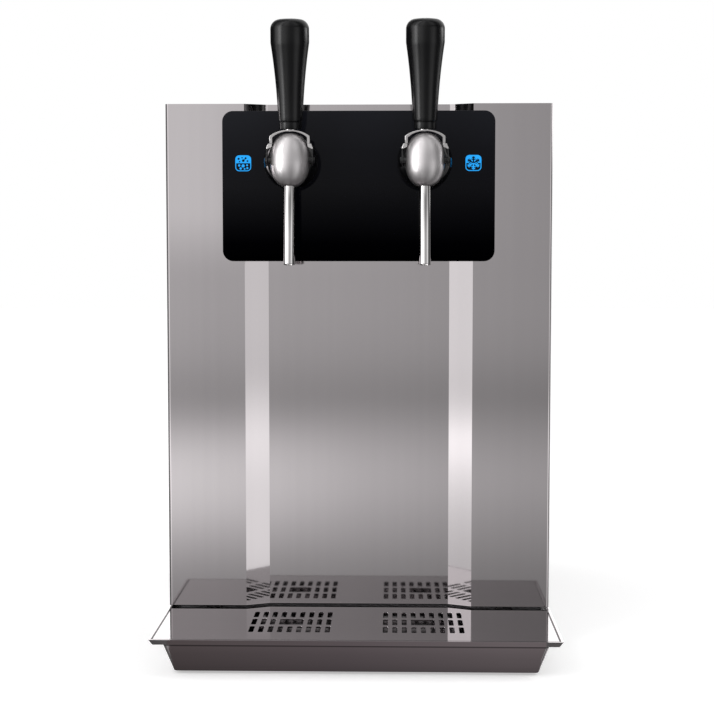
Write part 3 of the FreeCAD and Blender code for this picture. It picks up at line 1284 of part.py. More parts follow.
def make_rear_fittings():
    z = S.fitting_z
    outside = S.fitting_reach

    def fitting(name, x, radius, bore, flange, nut, neck):
        parts = [rod(name + "_thread", radius, 30 + outside, x, back_y - 30, z, "y"),
                 rod(name + "_flange", flange, 2.5, x, back_y, z, "y")]
        hexagon = doc.addObject("Part::Prism", name + "_nut")
        hexagon.Polygon = 6
        bind(hexagon, "Circumradius", nut)
        bind(hexagon, "Height", 7)
        place(hexagon, x, back_y - S.front_skin - 7, z, FreeCAD.Vector(-1, 0, 0), 90)
        parts.append(hexagon)
        if neck:
            parts.append(rod(name + "_neck", radius - 0.01, 2, x, back_y, z, "y"))
        way = rod(name + "_way", bore, 60 + outside, x, back_y - 34, z, "y")
        node(cut(name, join(name + "_blank", parts), [way]), name)

    fitting("water_inlet", -70, S.inlet_radius, 8.0, 18, 19, False)
    fitting("drain_spigot", 70, S.drain_radius, 5.5, 12, 13.5, False)
    gas = [rod("gas_tube", S.gas_radius, 30 + outside, 0, back_y - 30, z, "y"),
           rod("gas_bulkhead", S.gas_radius + 3, 16, 0, back_y - 9, z, "y"),
           rod("gas_flange", 11, 2.5, 0, back_y, z, "y")]
    gas_way = rod("gas_way", 2.6, 60 + outside, 0, back_y - 34, z, "y")
    node(cut("gas_inlet", join("gas_blank", gas), [gas_way]), "gas_inlet")

    x = control_x
    body = [block("thermostat_box", x - 17, x + 17, back_y - 40, back_y - S.front_skin - 0.2,
                  S.knob_z - 22, S.knob_z + 22),
            rod("thermostat_bush", 4, 4, x, back_y - 4, S.knob_z, "y"),
            rod("thermostat_probe", 3, 30, x, back_y - 60, S.knob_z - 12, "y")]
    stem_room = rod("thermostat_room", 3.05, 22, x, back_y - 20, S.knob_z, "y")
    node(cut("thermostat", join("thermostat_blank", body), [stem_room]), "thermostat")
    knob = [taper("knob_skirt", S.knob_radius, S.knob_radius - 2, 12, x, back_y + 0.6, S.knob_z, "y"),
            rod("knob_stem", 3, 20, x, back_y - 17, S.knob_z, "y"),
            block("knob_grip", x - 3, x + 3, back_y + 10, back_y + 20, S.knob_z - S.knob_radius + 3,
                  S.knob_z + S.knob_radius - 3)]
    mark = block("knob_mark", x - 0.6, x + 0.6, back_y + 19.2, back_y + 21, S.knob_z + 2,
                 S.knob_z + S.knob_radius)
    node(cut("thermostat_knob", join("knob_blank", knob), [mark]), "thermostat_knob")

    low, high = S.power_z - 11, S.switch_z + 13
    housing = [block("inlet_body", x - 14.8, x + 14.8, back_y - 26, back_y + 0.5, low + 0.2, high - 0.2),
               block("inlet_flange", x - 19, x + 19, back_y, back_y + 2.5, low - 4, high + 4)]
    tools = [block("inlet_well", x - 12, x + 12, back_y - 17, back_y + 6, S.power_z - 8, S.power_z + 8),
             block("switch_well", x - 7, x + 7, back_y - 16, back_y + 6, S.switch_z - 9.5, S.switch_z + 9.5)]
    pins = [block("inlet_pin_%d" % n, x + dx - 1, x + dx + 1, back_y - 18, back_y - 2, S.power_z + dz - 2,
                  S.power_z + dz + 2) for n, (dx, dz) in enumerate(((-7, -1.5), (0, 2), (7, -1.5)))]
    shell = cut("inlet_shell", join("inlet_blank", housing), tools)
    axle = rod("switch_axle", 1.4, 14.6, x - 7.3, back_y - 4, S.switch_z, "x")
    node(join("power_inlet", [shell, axle] + pins), "power_inlet")

    rocker = new_body("rocker_shape")
    profile = new_sketch(rocker, "rocker_profile", "YZ", -6.7)
    draw(profile, [(-5, -7.4), (1.2, -8.8), (4.6, -8.6), (2.4, 0), (4.6, 8.6), (1.2, 8.8), (-5, 7.4)])
    grow(rocker, "Pad", "rocker_block", profile, 13.4)
    axle_hole = new_sketch(rocker, "rocker_hole", "YZ", -8)
    ring(axle_hole, 0, 0, 1.45)
    grow(rocker, "Pocket", "rocker_bore", axle_hole, 16, back=True)
    place(rocker, x, back_y - 4, S.switch_z, FreeCAD.Vector(1, 0, 0), -S.switch_tilt)
    node(rocker, "switch_rocker")


# ---------------------------------------------------------------- build

make_front_panel()
for side, sign in SIDES:
    make_side_panel(side, sign)
make_top_cover()
make_rear_panel()
make_base()
make_bay_frame()
make_deck()
make_case_screws()
make_glass()
make_carrier()
for side, sign in SIDES:
    make_tap_body(side, sign * S.tap_aside)
    make_lever(side, sign * S.tap_aside)
    make_tap_inside(side, sign * S.tap_aside)
make_tray()
make_grate()
make_compressor()
make_condenser()
make_fan()
make_ice_bank()
make_coil()
make_vessel()
make_stirrer()
make_pump()
make_board()
make_tubes()
make_refrigerant_line()
make_rear_fittings()

doc.recompute()
for thing in doc.Objects:
    if "Invalid" in thing.State or "Error" in thing.State:
        raise RuntimeError("%s is %s" % (thing.Name, thing.State))

os.makedirs("parts", exist_ok=True)
for thing in NODES:
    shape = thing.Shape
    if shape.isNull() or not shape.isValid():
        raise RuntimeError("%s has no valid shape" % thing.Label)
    shape.exportStep("parts/%s.step" % thing.Label)
    print("%-26s %2d solids %12.1f mm3" % (thing.Label, len(shape.Solids), shape.Volume))
print(len(NODES), "nodes")
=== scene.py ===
# %% [markdown]
# # A countertop water dispenser, made to be looked at
# The engineering model of this machine is already finished: fifty-nine separate parts that fit and move. This script
# gives that model its looks. It keeps every engineering part where it is, works out the finish of each one, makes
# the taps again more smoothly, adds two lit signs, and sets up a studio round it all. Each cell below first says what
# it is about to make and why it is made that way, and then makes it.

# %% Load the machine
import json
import math
import bmesh
import bpy
from mathutils import Matrix, Vector


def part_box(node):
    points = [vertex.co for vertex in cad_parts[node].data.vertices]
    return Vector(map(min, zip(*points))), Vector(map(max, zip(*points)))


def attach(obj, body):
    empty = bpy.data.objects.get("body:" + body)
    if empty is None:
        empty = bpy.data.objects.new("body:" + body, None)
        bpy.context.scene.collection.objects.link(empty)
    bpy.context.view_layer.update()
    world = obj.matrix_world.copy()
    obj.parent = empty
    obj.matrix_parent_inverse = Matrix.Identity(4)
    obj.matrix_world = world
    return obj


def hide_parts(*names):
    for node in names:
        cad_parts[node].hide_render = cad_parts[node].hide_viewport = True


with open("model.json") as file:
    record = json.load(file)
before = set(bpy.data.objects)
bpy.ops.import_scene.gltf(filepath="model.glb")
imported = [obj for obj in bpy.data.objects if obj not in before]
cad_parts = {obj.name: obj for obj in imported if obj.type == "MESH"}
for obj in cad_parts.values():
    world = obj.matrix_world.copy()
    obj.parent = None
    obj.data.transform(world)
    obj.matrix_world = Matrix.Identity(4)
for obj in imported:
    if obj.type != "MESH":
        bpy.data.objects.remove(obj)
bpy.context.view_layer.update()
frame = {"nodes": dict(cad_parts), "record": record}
MM = 0.001
parts = frame["nodes"]


def put_in_scene(name, data):
    """Makes an object of some data and links it to the scene."""
    made = bpy.data.objects.new(name, data)
    bpy.context.scene.collection.objects.link(made)
    return made


# %% [markdown]
# ## Where the eye stands
# The machine is seen from almost straight ahead, a little above its middle, through a long lens. A long lens was
# chosen over a wide one because the housing's sides then run almost parallel, as they do to a person who stands
# back from a worktop. The camera looks four degrees down, so that the top of the drip tray shows.

# %% Camera
EYE_PLACE = Vector((35.6, -1661.7, 402.0)) * MM
EYE_DOWN = 4.011
EYE_ASIDE = 1.415
EYE_LENS = 75
SENSOR_WIDE = 36
NEAREST, FARTHEST = 0.05, 60
camera_data = bpy.data.cameras.new("eye")
camera_data.lens = EYE_LENS
camera_data.sensor_width = SENSOR_WIDE
camera_data.clip_start = NEAREST
camera_data.clip_end = FARTHEST
camera = put_in_scene("eye", camera_data)
camera.location = EYE_PLACE
camera.rotation_euler = (math.radians(90 - EYE_DOWN), 0, math.radians(EYE_ASIDE))
bpy.context.scene.camera = camera
print("eye at", tuple(round(v, 3) for v in EYE_PLACE), "with a", EYE_LENS, "mm lens")

# %% [markdown]
# ## A short way to write down a finish
# A finish is a small network: where on the surface, what pattern is there, and what that does to colour, shine and
# relief. `Wiring` adds the boxes of such a network and joins them with one call each, so that the finishes
# below can be read as sentences. Two effects are used by most of them, so each is made once as a shared block:
# brushing, which is noise pulled out long in one direction, and handling, which is the slow change in shine that
# hands and cloths leave. Three helpers change a metal after it is made: one paints shade on it where it turns away,
# one changes its tone along the machine, which is used here for painted shade, and one lets it scatter a little light
# as a matt surface does.

# %% Wiring helpers and shared effects
class Wiring:
    """Adds shader boxes to a tree and joins them."""

    def __init__(self, tree):
        self.tree = tree

    def box(self, kind, sockets=None, **settings):
        made = self.tree.nodes.new("ShaderNode" + kind)
        for name, value in settings.items():
            setattr(made, name, value)
        return self.fill(made, sockets or {})

    def fill(self, box, sockets):
        """Sets or joins several sockets of a box, by name or number."""
        for name, value in sockets.items():
            self.feed(value, box.inputs[name])
        return box

    def feed(self, value, socket):
        if isinstance(value, bpy.types.NodeSocket):
            self.tree.links.new(value, socket)
        else:
            socket.default_value = value

    def sum_of(self, operation, first, second=0.0, third=0.0):
        return self.box("Math", {0: first, 1: second, 2: third}, operation=operation).outputs[0]

    def ramp(self, factor, stops):
        """stops is a list of (place, grey or colour)."""
        made = self.box("ValToRGB", {"Fac": factor})
        elements = made.color_ramp.elements
        while len(elements) > 1:
            elements.remove(elements[-1])
        for number, (place, tone) in enumerate(stops):
            element = elements[0] if number == 0 else elements.new(place)
            element.position = place
            colour = tone if isinstance(tone, tuple) else (tone, tone, tone)
            element.color = (*colour, 1)
        return made.outputs["Color"]

    def split(self, vector, axis):
        """One axis of a place or a direction."""
        return self.box("SeparateXYZ", {"Vector": vector}).outputs[axis]

    def span(self, value, low, high):
        """How far a value is from one mark to another."""
        return self.box("MapRange", {"Value": value, "From Min": low, "From Max": high}).outputs[0]

    def product(self, first, second):
        """Two colours or places, multiplied axis by axis."""
        return self.box("VectorMath", {0: first, 1: second}, operation="MULTIPLY").outputs[0]


def shared_block(name, inputs, outputs):
    """A node group with the sockets given as (name, kind) pairs; returns it, its wiring and its two ends."""
    tree = bpy.data.node_groups.new(name, "ShaderNodeTree")
    for label, kind in inputs:
        tree.interface.new_socket(label, in_out="INPUT", socket_type="NodeSocket" + kind)
    for label, kind in outputs:
        tree.interface.new_socket(label, in_out="OUTPUT", socket_type="NodeSocket" + kind)
    return tree, Wiring(tree), tree.nodes.new("NodeGroupInput"), tree.nodes.new("NodeGroupOutput")


brushing, wires, start, end = shared_block(
    "brushing", [("Place", "Vector"), ("Stretch", "Vector")], [("Height", "Float"), ("Shade", "Float")])
stretched = wires.product(start.outputs["Place"], start.outputs["Stretch"])
fine = wires.box("TexNoise", {"Vector": stretched, "Scale": 1.0, "Detail": 5.0, "Roughness": 0.7})
broad = wires.box("TexNoise", {"Vector": stretched, "Scale": 0.13, "Detail": 2.0})
wires.fill(end, {"Height": fine.outputs[0], "Shade": broad.outputs[0]})

handling, wires, start, end = shared_block(
    "handling", [("Place", "Vector"), ("Shine", "Float"), ("Change", "Float")], [("Roughness", "Float")])
cloudy = wires.box("TexNoise", {"Vector": start.outputs["Place"], "Scale": 14.0, "Detail": 3.0})
streaky = wires.box("TexNoise", {"Vector": start.outputs["Place"], "Scale": 95.0, "Detail": 2.0, "Distortion": 0.6})
STREAK_SHARE = 0.35
NOISE_MIDDLE = 0.67
both = wires.sum_of("MULTIPLY_ADD", streaky.outputs[0], STREAK_SHARE, cloudy.outputs[0])
swing = wires.sum_of("SUBTRACT", both, NOISE_MIDDLE)
roughness = wires.sum_of("MULTIPLY_ADD", swing, start.outputs["Change"], start.outputs["Shine"])
wires.fill(end, {"Roughness": roughness})
print("shared blocks:", brushing.name, "and", handling.name)


def new_finish(name):
    """An empty finish: the material, its wiring, its main shader and the place on the surface."""
    finish = bpy.data.materials.new(name)
    finish.use_nodes = True
    tree = finish.node_tree
    tree.nodes.clear()
    wiring = Wiring(tree)
    shader = wiring.box("BsdfPrincipled")
    wiring.box("OutputMaterial", {"Surface": shader.outputs[0]})
    place = wiring.box("TexCoord").outputs["Object"]
    return finish, wiring, shader, place


def box_of(finish, kind):
    """The first box of a kind in a finish."""
    return next(box for box in finish.node_tree.nodes if box.type == kind)


def show_instead(finish, wiring, surface):
    """Sends another surface than the main shader to a finish's output."""
    wiring.feed(surface, box_of(finish, "OUTPUT_MATERIAL").inputs["Surface"])


def use_block(wiring, tree, sockets):
    """Puts a shared block into a finish and gives its one or two results."""
    return wiring.fill(wiring.box("Group", node_tree=tree), sockets).outputs


def two_tones(wiring, pattern, colour, tint, low, high, lift=0.0):
    """A colour that runs from slightly darker to slightly lighter with a pattern."""
    dark = tuple(channel * (1 - tint) for channel in colour)
    light = tuple(min(1, channel * (1 + tint) + lift) for channel in colour)
    return wiring.ramp(pattern, [(low, dark), (high, light)])


def surface(wiring, shader, tone, roughness, height, strength, relief):
    """Sends a tone, a roughness and a relief to the main shader."""
    bump = wiring.box("Bump", {"Height": height, "Strength": strength, "Distance": relief})
    wiring.fill(shader, {"Base Color": tone, "Roughness": roughness, "Normal": bump.outputs[0]})


def metal(name, colour, shine, change=0.03, stretch=(900, 900, 14), relief=0.00002, tint=0.04):
    """Bare metal: brushed along the axis whose stretch is small, handled, and slightly uneven in tone."""
    finish, wiring, shader, place = new_finish(name)
    brushed = use_block(wiring, brushing, {"Place": place, "Stretch": stretch})
    handled = use_block(wiring, handling, {"Place": place, "Shine": shine, "Change": change})
    tone = two_tones(wiring, brushed["Shade"], colour, tint, 0.3, 0.7)
    surface(wiring, shader, tone, handled[0], brushed["Height"], 0.5, relief)
    shader.inputs["Metallic"].default_value = 1
    return finish


def part_metal(finish, share):
    """Lets a matt share through a metal finish, as a blasted surface scatters some light."""
    box_of(finish, "BSDF_PRINCIPLED").inputs["Metallic"].default_value = share


def shade_base(finish, tone_of):
    """Multiplies a metal's own colour by the tone that tone_of works out with the finish's wiring."""
    wiring = Wiring(finish.node_tree)
    base = box_of(finish, "BSDF_PRINCIPLED").inputs["Base Color"]
    wiring.feed(wiring.product(base.links[0].from_socket, tone_of(wiring)), base)


def painted_rim_shade(finish, stops):
    """Paints shade on a round metal piece where its surface turns away: a dark line on each side, a painted
    reflection of dark surroundings.
    """
    shade_base(finish, lambda wiring: wiring.ramp(wiring.box("LayerWeight", {"Blend": 0.5}).outputs["Facing"], stops))


def shade_along(finish, axis, low, high, stops, both_sides=False):
    """Changes a metal's tone along one axis of the machine, between two marks; both_sides mirrors it about 0."""
    def tone_of(wiring):
        along = wiring.split(wiring.box("TexCoord").outputs["Object"], axis)
        if both_sides:
            along = wiring.sum_of("ABSOLUTE", along)
        return wiring.ramp(wiring.span(along, low, high), stops)

    shade_base(finish, tone_of)


def moulded(name, colour, shine, grain=1800, relief=0.00003, change=0.08, coat=0.0, specular=0.5, tint=0.12):
    """Moulded plastic, rubber or paint: a fine grain, a slow change of shine and a little unevenness."""
    finish, wiring, shader, place = new_finish(name)
    grains = wiring.box("TexNoise", {"Vector": place, "Scale": grain, "Detail": 2.0})
    patches = wiring.box("TexNoise", {"Vector": place, "Scale": 22.0, "Detail": 3.0})
    handled = use_block(wiring, handling, {"Place": place, "Shine": shine, "Change": change})
    tone = two_tones(wiring, patches.outputs[0], colour, tint, 0.35, 0.68, lift=0.002)
    surface(wiring, shader, tone, handled[0], grains.outputs[0], 0.6, relief)
    wiring.fill(shader, {"Coat Weight": coat, "Specular IOR Level": specular})
    return finish


# %% [markdown]
# ## The finishes
# Every finish is worked out from the position on the machine, in metres, so its scale is the real one. The front
# sheet is polished steel with only a trace of upright brushing: it mirrors the tray and the taps, so its roughness is
# low. The tap noses are satin: a much rougher metal, which also scatters a little light as a matt surface does. The
# handles are black moulded plastic with a soft sheen, not metal.
#
# Some tones belong to one place on a piece, and are set there one by one.
# - Painted shade darkens the noses at their rims and towards their lower ends, and paints a dark line down each side
#   of the spouts.
# - The front sheet has painted shade, a black line, along its foot, with a painted highlight, a pale hem, above it,
#   and a painted dark line down its left fold.
# - The grate has a thin painted dark line along its two ends, the shade of a groove.
# - The tray is painted dim inside, as shade where little light gets in. Outside it has painted shade in the crease
#   under the lip, and its skirt is painted darker towards the table.

# %% Metals, plastics and rubber
steel = (0.62, 0.583, 0.595)
# After a metal's colour come its roughness and how much that changes, how often a metre the brushing varies along x,
# y and z, the relief's depth and the tone's unevenness. After a moulding's come roughness, grain and relief's depth.
finishes = {
    "front_steel": metal("front_steel", steel, 0.055, 0.02, (700, 700, 5), 0.0000012, 0.012),
    "case_steel": metal("case_steel", steel, 0.22, 0.06, (700, 9, 700), 0.00001, 0.03),
    "zinc_sheet": metal("zinc_sheet", (0.52, 0.53, 0.54), 0.38, 0.12, (40, 40, 40), 0.00004, 0.10),
    "screw_steel": metal("screw_steel", (0.55, 0.55, 0.56), 0.24, 0.08, (500, 500, 500), 0.00003, 0.05),
    "tray_steel": metal("tray_steel", steel, 0.10, 0.03, (8, 700, 700), 0.000003, 0.03),
    "grate_steel": metal("grate_steel", steel, 0.06, 0.02, (6, 800, 800), 0.0000012, 0.015),
    "chrome": metal("chrome", (0.80, 0.80, 0.81), 0.035, 0.015, (60, 60, 60), 0.000001, 0.01),
    "spout_chrome": metal("spout_chrome", (0.74, 0.72, 0.72), 0.065, 0.015, (800, 800, 10), 0.000002, 0.01),
    "satin_nose": metal("satin_nose", (0.70, 0.672, 0.68), 0.37, 0.02, (900, 900, 18), 0.00001, 0.02),
    "vessel_steel": metal("vessel_steel", steel, 0.2, 0.06, (20, 20, 900), 0.00001, 0.03),
    "fin_aluminium": metal("fin_aluminium", (0.75, 0.76, 0.77), 0.35, 0.1, (300, 300, 300), 0.00002, 0.05),
    "copper": metal("copper", (0.83, 0.42, 0.26), 0.26, 0.12, (90, 90, 90), 0.00003, 0.12),
    "fitting_brass": metal("fitting_brass", (0.78, 0.62, 0.32), 0.24, 0.1, (120, 900, 120), 0.00002, 0.06),
    "pump_brass": metal("pump_brass", (0.70, 0.55, 0.29), 0.36, 0.1, (200, 200, 200), 0.00006, 0.08),
    "black_handle": moulded("black_handle", (0.0016, 0.0016, 0.0022), 0.24, 2400, 0.00004, 0.05, 0.0, 0.32),
    "ball_gloss": moulded("ball_gloss", (0.0012, 0.0012, 0.0016), 0.07, 300, 0.000002, 0.02, 0.0, 0.4),
    "blackened_screw": moulded("blackened_screw", (0.006, 0.006, 0.007), 0.3, 900, 0.00001, 0.05),
    "black_moulding": moulded("black_moulding", (0.018, 0.018, 0.019), 0.42, 1500, 0.00006),
    "rotor_plastic": moulded("rotor_plastic", (0.03, 0.03, 0.03), 0.5, 900, 0.00005),
    "rubber": moulded("rubber", (0.022, 0.022, 0.022), 0.72, 700, 0.00012),
    "compressor_paint": moulded("compressor_paint", (0.014, 0.014, 0.015), 0.32, 500, 0.00008, coat=0.3),
    "foam_shell": moulded("foam_shell", (0.78, 0.77, 0.74), 0.6, 900, 0.0001, tint=0.05),
    "motor_can": moulded("motor_can", (0.16, 0.16, 0.17), 0.36, 500, 0.00005, coat=0.2),
    "board_green": moulded("board_green", (0.02, 0.16, 0.06), 0.34, 900, 0.00005, coat=0.3),
    "soft_tube": moulded("soft_tube", (0.72, 0.76, 0.80), 0.28, 400, 0.00003, tint=0.04),
}
part_metal(finishes["satin_nose"], 0.86)
# Painted shade: the noses are darkened at their rims and towards their lower ends.
painted_rim_shade(finishes["satin_nose"], [(0.0, 1.0), (0.45, 1.0), (0.8, 0.5)])
nose_low, nose_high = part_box("tap_nose_left")
shade_along(finishes["satin_nose"], "Z", nose_low.z, nose_high.z,
            [(0.0, 0.5), (0.07, 0.6), (0.16, 0.74), (0.25, 0.79), (0.34, 0.88), (0.43, 1.0)])
# Painted shade: a dark line down each side of the spouts and of the forks, which share this finish, a painted
# reflection of dark surroundings.
painted_rim_shade(finishes["spout_chrome"], [(0.0, 1.0), (0.2, 1.0), (0.34, 0.3), (1.0, 0.25)])

# Painted shade along the front sheet's foot: a black line, with a painted highlight, a pale hem, just above it. Then
# painted shade as a dark line down its left fold.
SHEET_SHADE_REACH = 10 * MM
sheet_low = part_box("front_panel")[0]
shade_along(finishes["front_steel"], "Z", sheet_low.z, sheet_low.z + SHEET_SHADE_REACH,
            [(0.0, 0.0), (0.055, 0.0), (0.065, 1.13), (0.11, 1.13), (0.15, 1.0)])
shade_along(finishes["front_steel"], "X", sheet_low.x, sheet_low.x + SHEET_SHADE_REACH,
            [(0.0, 0.38), (0.1, 0.38), (0.12, 0.09), (0.2, 0.09), (0.23, 1.0)])

# Painted shade: a thin dark line along the grate's two ends, the shade of a groove.
PLATE_SHADE_REACH = 2 * MM
plate_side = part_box("drip_grate")[1].x
shade_along(finishes["grate_steel"], "X", plate_side - PLATE_SHADE_REACH, plate_side,
            [(0.0, 1.0), (0.6, 1.0), (0.66, 0.02), (1.0, 0.02)], both_sides=True)

tray_low, tray_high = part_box("drip_tray")
# Painted shade on the tray: dim wells inside, a dark crease under the lip and a skirt darker towards the table.
WELL_START, WELL_FULL = 3 * MM, 8 * MM
WELL_DIMMING = -0.72
INWARD_SLOPE = 0.2
CREASE_REACH = 20 * MM
SKIRT_TOP = 6.5 * MM


def tray_painted_shade(wiring):
    """Painted shade and light: dim inside the tray; outside, a dark crease under the lip and a skirt that darkens
    downwards.
    """
    spot = wiring.box("TexCoord")
    height = wiring.split(spot.outputs["Object"], "Z")
    facing = wiring.box("SeparateXYZ", {"Vector": spot.outputs["Normal"]})
    inward = wiring.sum_of("MAXIMUM", facing.outputs["Z"], facing.outputs["Y"])
    inward = wiring.sum_of("GREATER_THAN", inward, INWARD_SLOPE)
    shallow = wiring.span(height, tray_high.z - WELL_FULL, tray_high.z - WELL_START)
    deep = wiring.sum_of("MULTIPLY", inward, wiring.sum_of("SUBTRACT", 1.0, shallow))
    inner_shade = wiring.sum_of("MULTIPLY_ADD", deep, WELL_DIMMING, 1.0)
    crease_shade = wiring.ramp(wiring.span(height, tray_high.z - CREASE_REACH, tray_high.z),
                              [(0.0, 1.0), (0.53, 1.0), (0.55, 0.4), (0.72, 0.4), (0.735, 1.04)])
    skirt_shade = wiring.ramp(wiring.span(height, tray_low.z, tray_high.z - SKIRT_TOP),
                             [(0.0, 0.62), (0.5, 0.84), (1.0, 1.04)])
    outer_change = wiring.sum_of("SUBTRACT", wiring.sum_of("MULTIPLY", crease_shade, skirt_shade), 1.0)
    outward = wiring.sum_of("SUBTRACT", 1.0, inward)
    return wiring.sum_of("MULTIPLY", inner_shade, wiring.sum_of("MULTIPLY_ADD", outer_change, outward, 1.0))


shade_base(finishes["tray_steel"], tray_painted_shade)
print(len(finishes), "finishes")

# %% [markdown]
# ## The black glass
# The panel is clear glass painted black on its back. Its colour is painted darkest at the bottom and a little
# blue-grey at the top, painted light that stands for the light the paint picks up from above through the glass. The
# change runs with height on the panel, so it stays put when the machine is walked round. Only a weak mirror lies on
# top, and it fades out towards the foot. The signs' finishes are made here too: one that glows blue, and a dark one
# for what is drawn on it.

# %% Glass and lit signs
glass_low, glass_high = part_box("glass_panel")
finish, wiring, shader, place = new_finish("black_glass")
up = wiring.span(wiring.split(place, "Z"), glass_low.z, glass_high.z)
speckle = wiring.box("TexNoise", {"Vector": place, "Scale": 30.0, "Detail": 2.0})
# Painted light: the base colour gets lighter and blue-grey towards the top, as if lit from above.
painted_top_light = wiring.sum_of("MULTIPLY_ADD", speckle.outputs[0], 0.03, up)
wiring.fill(shader, {
    "Base Color": wiring.ramp(painted_top_light, [(0.0, (0.0, 0.0, 0.0001)), (0.35, (0.0008, 0.0008, 0.0018)),
                                       (0.75, (0.0042, 0.0044, 0.0070)), (1.0, (0.0105, 0.0110, 0.0150))]),
    "Specular IOR Level": wiring.ramp(up, [(0.0, 0.0), (0.12, 0.004), (0.5, 0.12), (1.0, 0.13)]),
    "Roughness": use_block(wiring, handling, {"Place": place, "Shine": 0.05, "Change": 0.02})[0]})
finishes["black_glass"] = finish

finish, wiring, shader, place = new_finish("sign_light")
glow_noise = wiring.box("TexNoise", {"Vector": place, "Scale": 260.0, "Detail": 1.0})
glow = wiring.ramp(glow_noise.outputs[0], [(0.3, (0.018, 0.38, 0.98)), (0.7, (0.024, 0.42, 1.0))])
wiring.fill(shader, {"Emission Color": glow, "Emission Strength": 1.0, "Base Color": (0.0, 0.004, 0.02, 1),
                     "Roughness": 0.5, "Specular IOR Level": 0.1})
finishes["sign_light"] = finish
finishes["lamp_board"] = moulded("lamp_board", (0.05, 0.25, 0.6), 0.3, 600, 0.00003)
finishes["sign_dark"] = moulded("sign_dark", (0.003, 0.003, 0.005), 0.3, 900, 0.00001, specular=0.12)
print("glass runs from", round(glass_low.z, 4), "to", round(glass_high.z, 4))

# %% [markdown]
# ## Dress the engineering parts
# The engineering parts keep their own shapes. A sheet-metal or turned edge is never perfectly sharp, and a sharp
# edge never catches light, so each part's loose triangles are joined, most edges are rounded by a tenth or more of a
# millimetre, and curved faces are shaded as curves. The glass, the front sheet, the tap balls, the condenser and the
# bent tubes aren't rounded, and only their sharp edges are kept crisp. These are finishing steps on top of the part,
# and its own points stay where they were.

# %% Finishes and edges on the parts
slot_of = {entry["node"]: entry["material_slot"] for entry in frame["record"]["subparts"]}
edge_round = {"glass_panel": 0.0, "front_panel": 0.0, "drip_tray": 0.25, "drip_grate": 0.12, "evaporator_coil": 0.0,
              "water_tubes": 0.0, "refrigerant_line": 0.0, "condenser": 0.0, "tap_yoke": 0.3, "tap_spout": 0.3,
              "tap_ball": 0.0, "pivot_screws": 0.2}
own_finish = {"tap_ball": "ball_gloss", "pivot_screws": "blackened_screw"}
# Widths in millimetres, angles in degrees.
USUAL_ROUND = 0.15
WELD_REACH = 0.004
ROUNDED_ANGLE = 22
CRISP_ANGLE = 32
SHEET_CRISP_ANGLE = 20


def soften(piece, width, angle):
    """Rounds the edges of a piece that are sharper than an angle."""
    soft = piece.modifiers.new("soft_edges", "BEVEL")
    soft.width = width * MM
    soft.segments = 2
    soft.limit_method = "ANGLE"
    soft.angle_limit = math.radians(angle)


def dress(name, part):
    """Gives a part its finish, rounds its edges and shades its curves as curves."""
    kind = name.removesuffix("_left").removesuffix("_right")
    mesh = part.data
    mesh.materials.clear()
    mesh.materials.append(finishes[own_finish.get(kind, slot_of[name])])
    for face in mesh.polygons:
        face.use_smooth = True
        face.material_index = 0
    weld = part.modifiers.new("joined", "WELD")
    weld.merge_threshold = WELD_REACH * MM
    width = edge_round.get(kind, USUAL_ROUND)
    if width:
        soften(part, width, ROUNDED_ANGLE)
    else:
        crisp = part.modifiers.new("crisp_edges", "EDGE_SPLIT")
        crisp.split_angle = math.radians(SHEET_CRISP_ANGLE if kind == "front_panel" else CRISP_ANGLE)
    flats = part.modifiers.new("true_flats", "WEIGHTED_NORMAL")
    flats.mode = "FACE_AREA"
    flats.weight = 100
    flats.keep_sharp = True


for name, part in parts.items():
    dress(name, part)
print("dressed", len(parts), "parts")

# %% [markdown]
# ## The taps, turned on a lathe
# What people look at and hold are the taps, so their round pieces are made again, smoother than an engineering
# model needs to be. Each one is a turned piece: half of its outline, as distance from its axis and height along it,
# swept once round. A lathe was chosen over sculpting since the real pieces are turned too, and the outline shows at
# once what the piece is. The handle is a slow flare that ends in a short grip with a rounded top. The collar is a
# short ring under it. The nose is an egg that leans forward, with a boss on each side for the lever's screws, and the
# spout is a plain tube with its end broken. All are placed from the lever's hinge and the faces of the engineering
# parts, so they follow if those change. The next cell holds the tools and the sizes.

# %% Lathe and sizes of the taps
LEVER_LEAN = math.radians(5.5)
SPOUT_LEAN = math.radians(8.5)


def finish_piece(name, mesh, materials, body, smooth=30):
    """Turns a bmesh into a piece that rides on a body; edges sharper than smooth, in degrees, stay sharp."""
    bmesh.ops.remove_doubles(mesh, verts=mesh.verts, dist=1e-7)
    bmesh.ops.recalc_face_normals(mesh, faces=mesh.faces)
    data = bpy.data.meshes.new(name)
    mesh.to_mesh(data)
    mesh.free()
    piece = put_in_scene(name, data)
    for material in materials:
        data.materials.append(finishes[material])
    if smooth:
        for face in data.polygons:
            face.use_smooth = True
        data.set_sharp_from_angle(angle=math.radians(smooth))
    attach(piece, body)
    return piece


def arc(middle, radius, start, end, steps):
    """Points on a quarter or part of a circle in a profile; angles in degrees from straight out."""
    points = []
    for step in range(steps + 1):
        angle = math.radians(start + (end - start) * step / steps)
        points.append((middle[0] + radius * math.cos(angle), middle[1] + radius * math.sin(angle)))
    return points


def turn_into(mesh, profile, seat, closed=False, steps=72):
    """Turns a profile of (radius, height) points once round its axis and sets it in place."""
    shape = bmesh.new()
    ring = [shape.verts.new((radius * MM, 0, height * MM)) for radius, height in profile]
    pairs = list(zip(ring, ring[1:] + ring[:1])) if closed else list(zip(ring, ring[1:]))
    edges = [shape.edges.new(pair) for pair in pairs]
    bmesh.ops.spin(shape, geom=ring + edges, cent=(0, 0, 0), axis=(0, 0, 1), angle=2 * math.pi, steps=steps,
                   use_merge=True)
    bmesh.ops.remove_doubles(shape, verts=shape.verts, dist=1e-6)
    bmesh.ops.transform(shape, matrix=seat, verts=shape.verts)
    made = bpy.data.meshes.new("turned")
    shape.to_mesh(made)
    shape.free()
    mesh.from_mesh(made)
    bpy.data.meshes.remove(made)


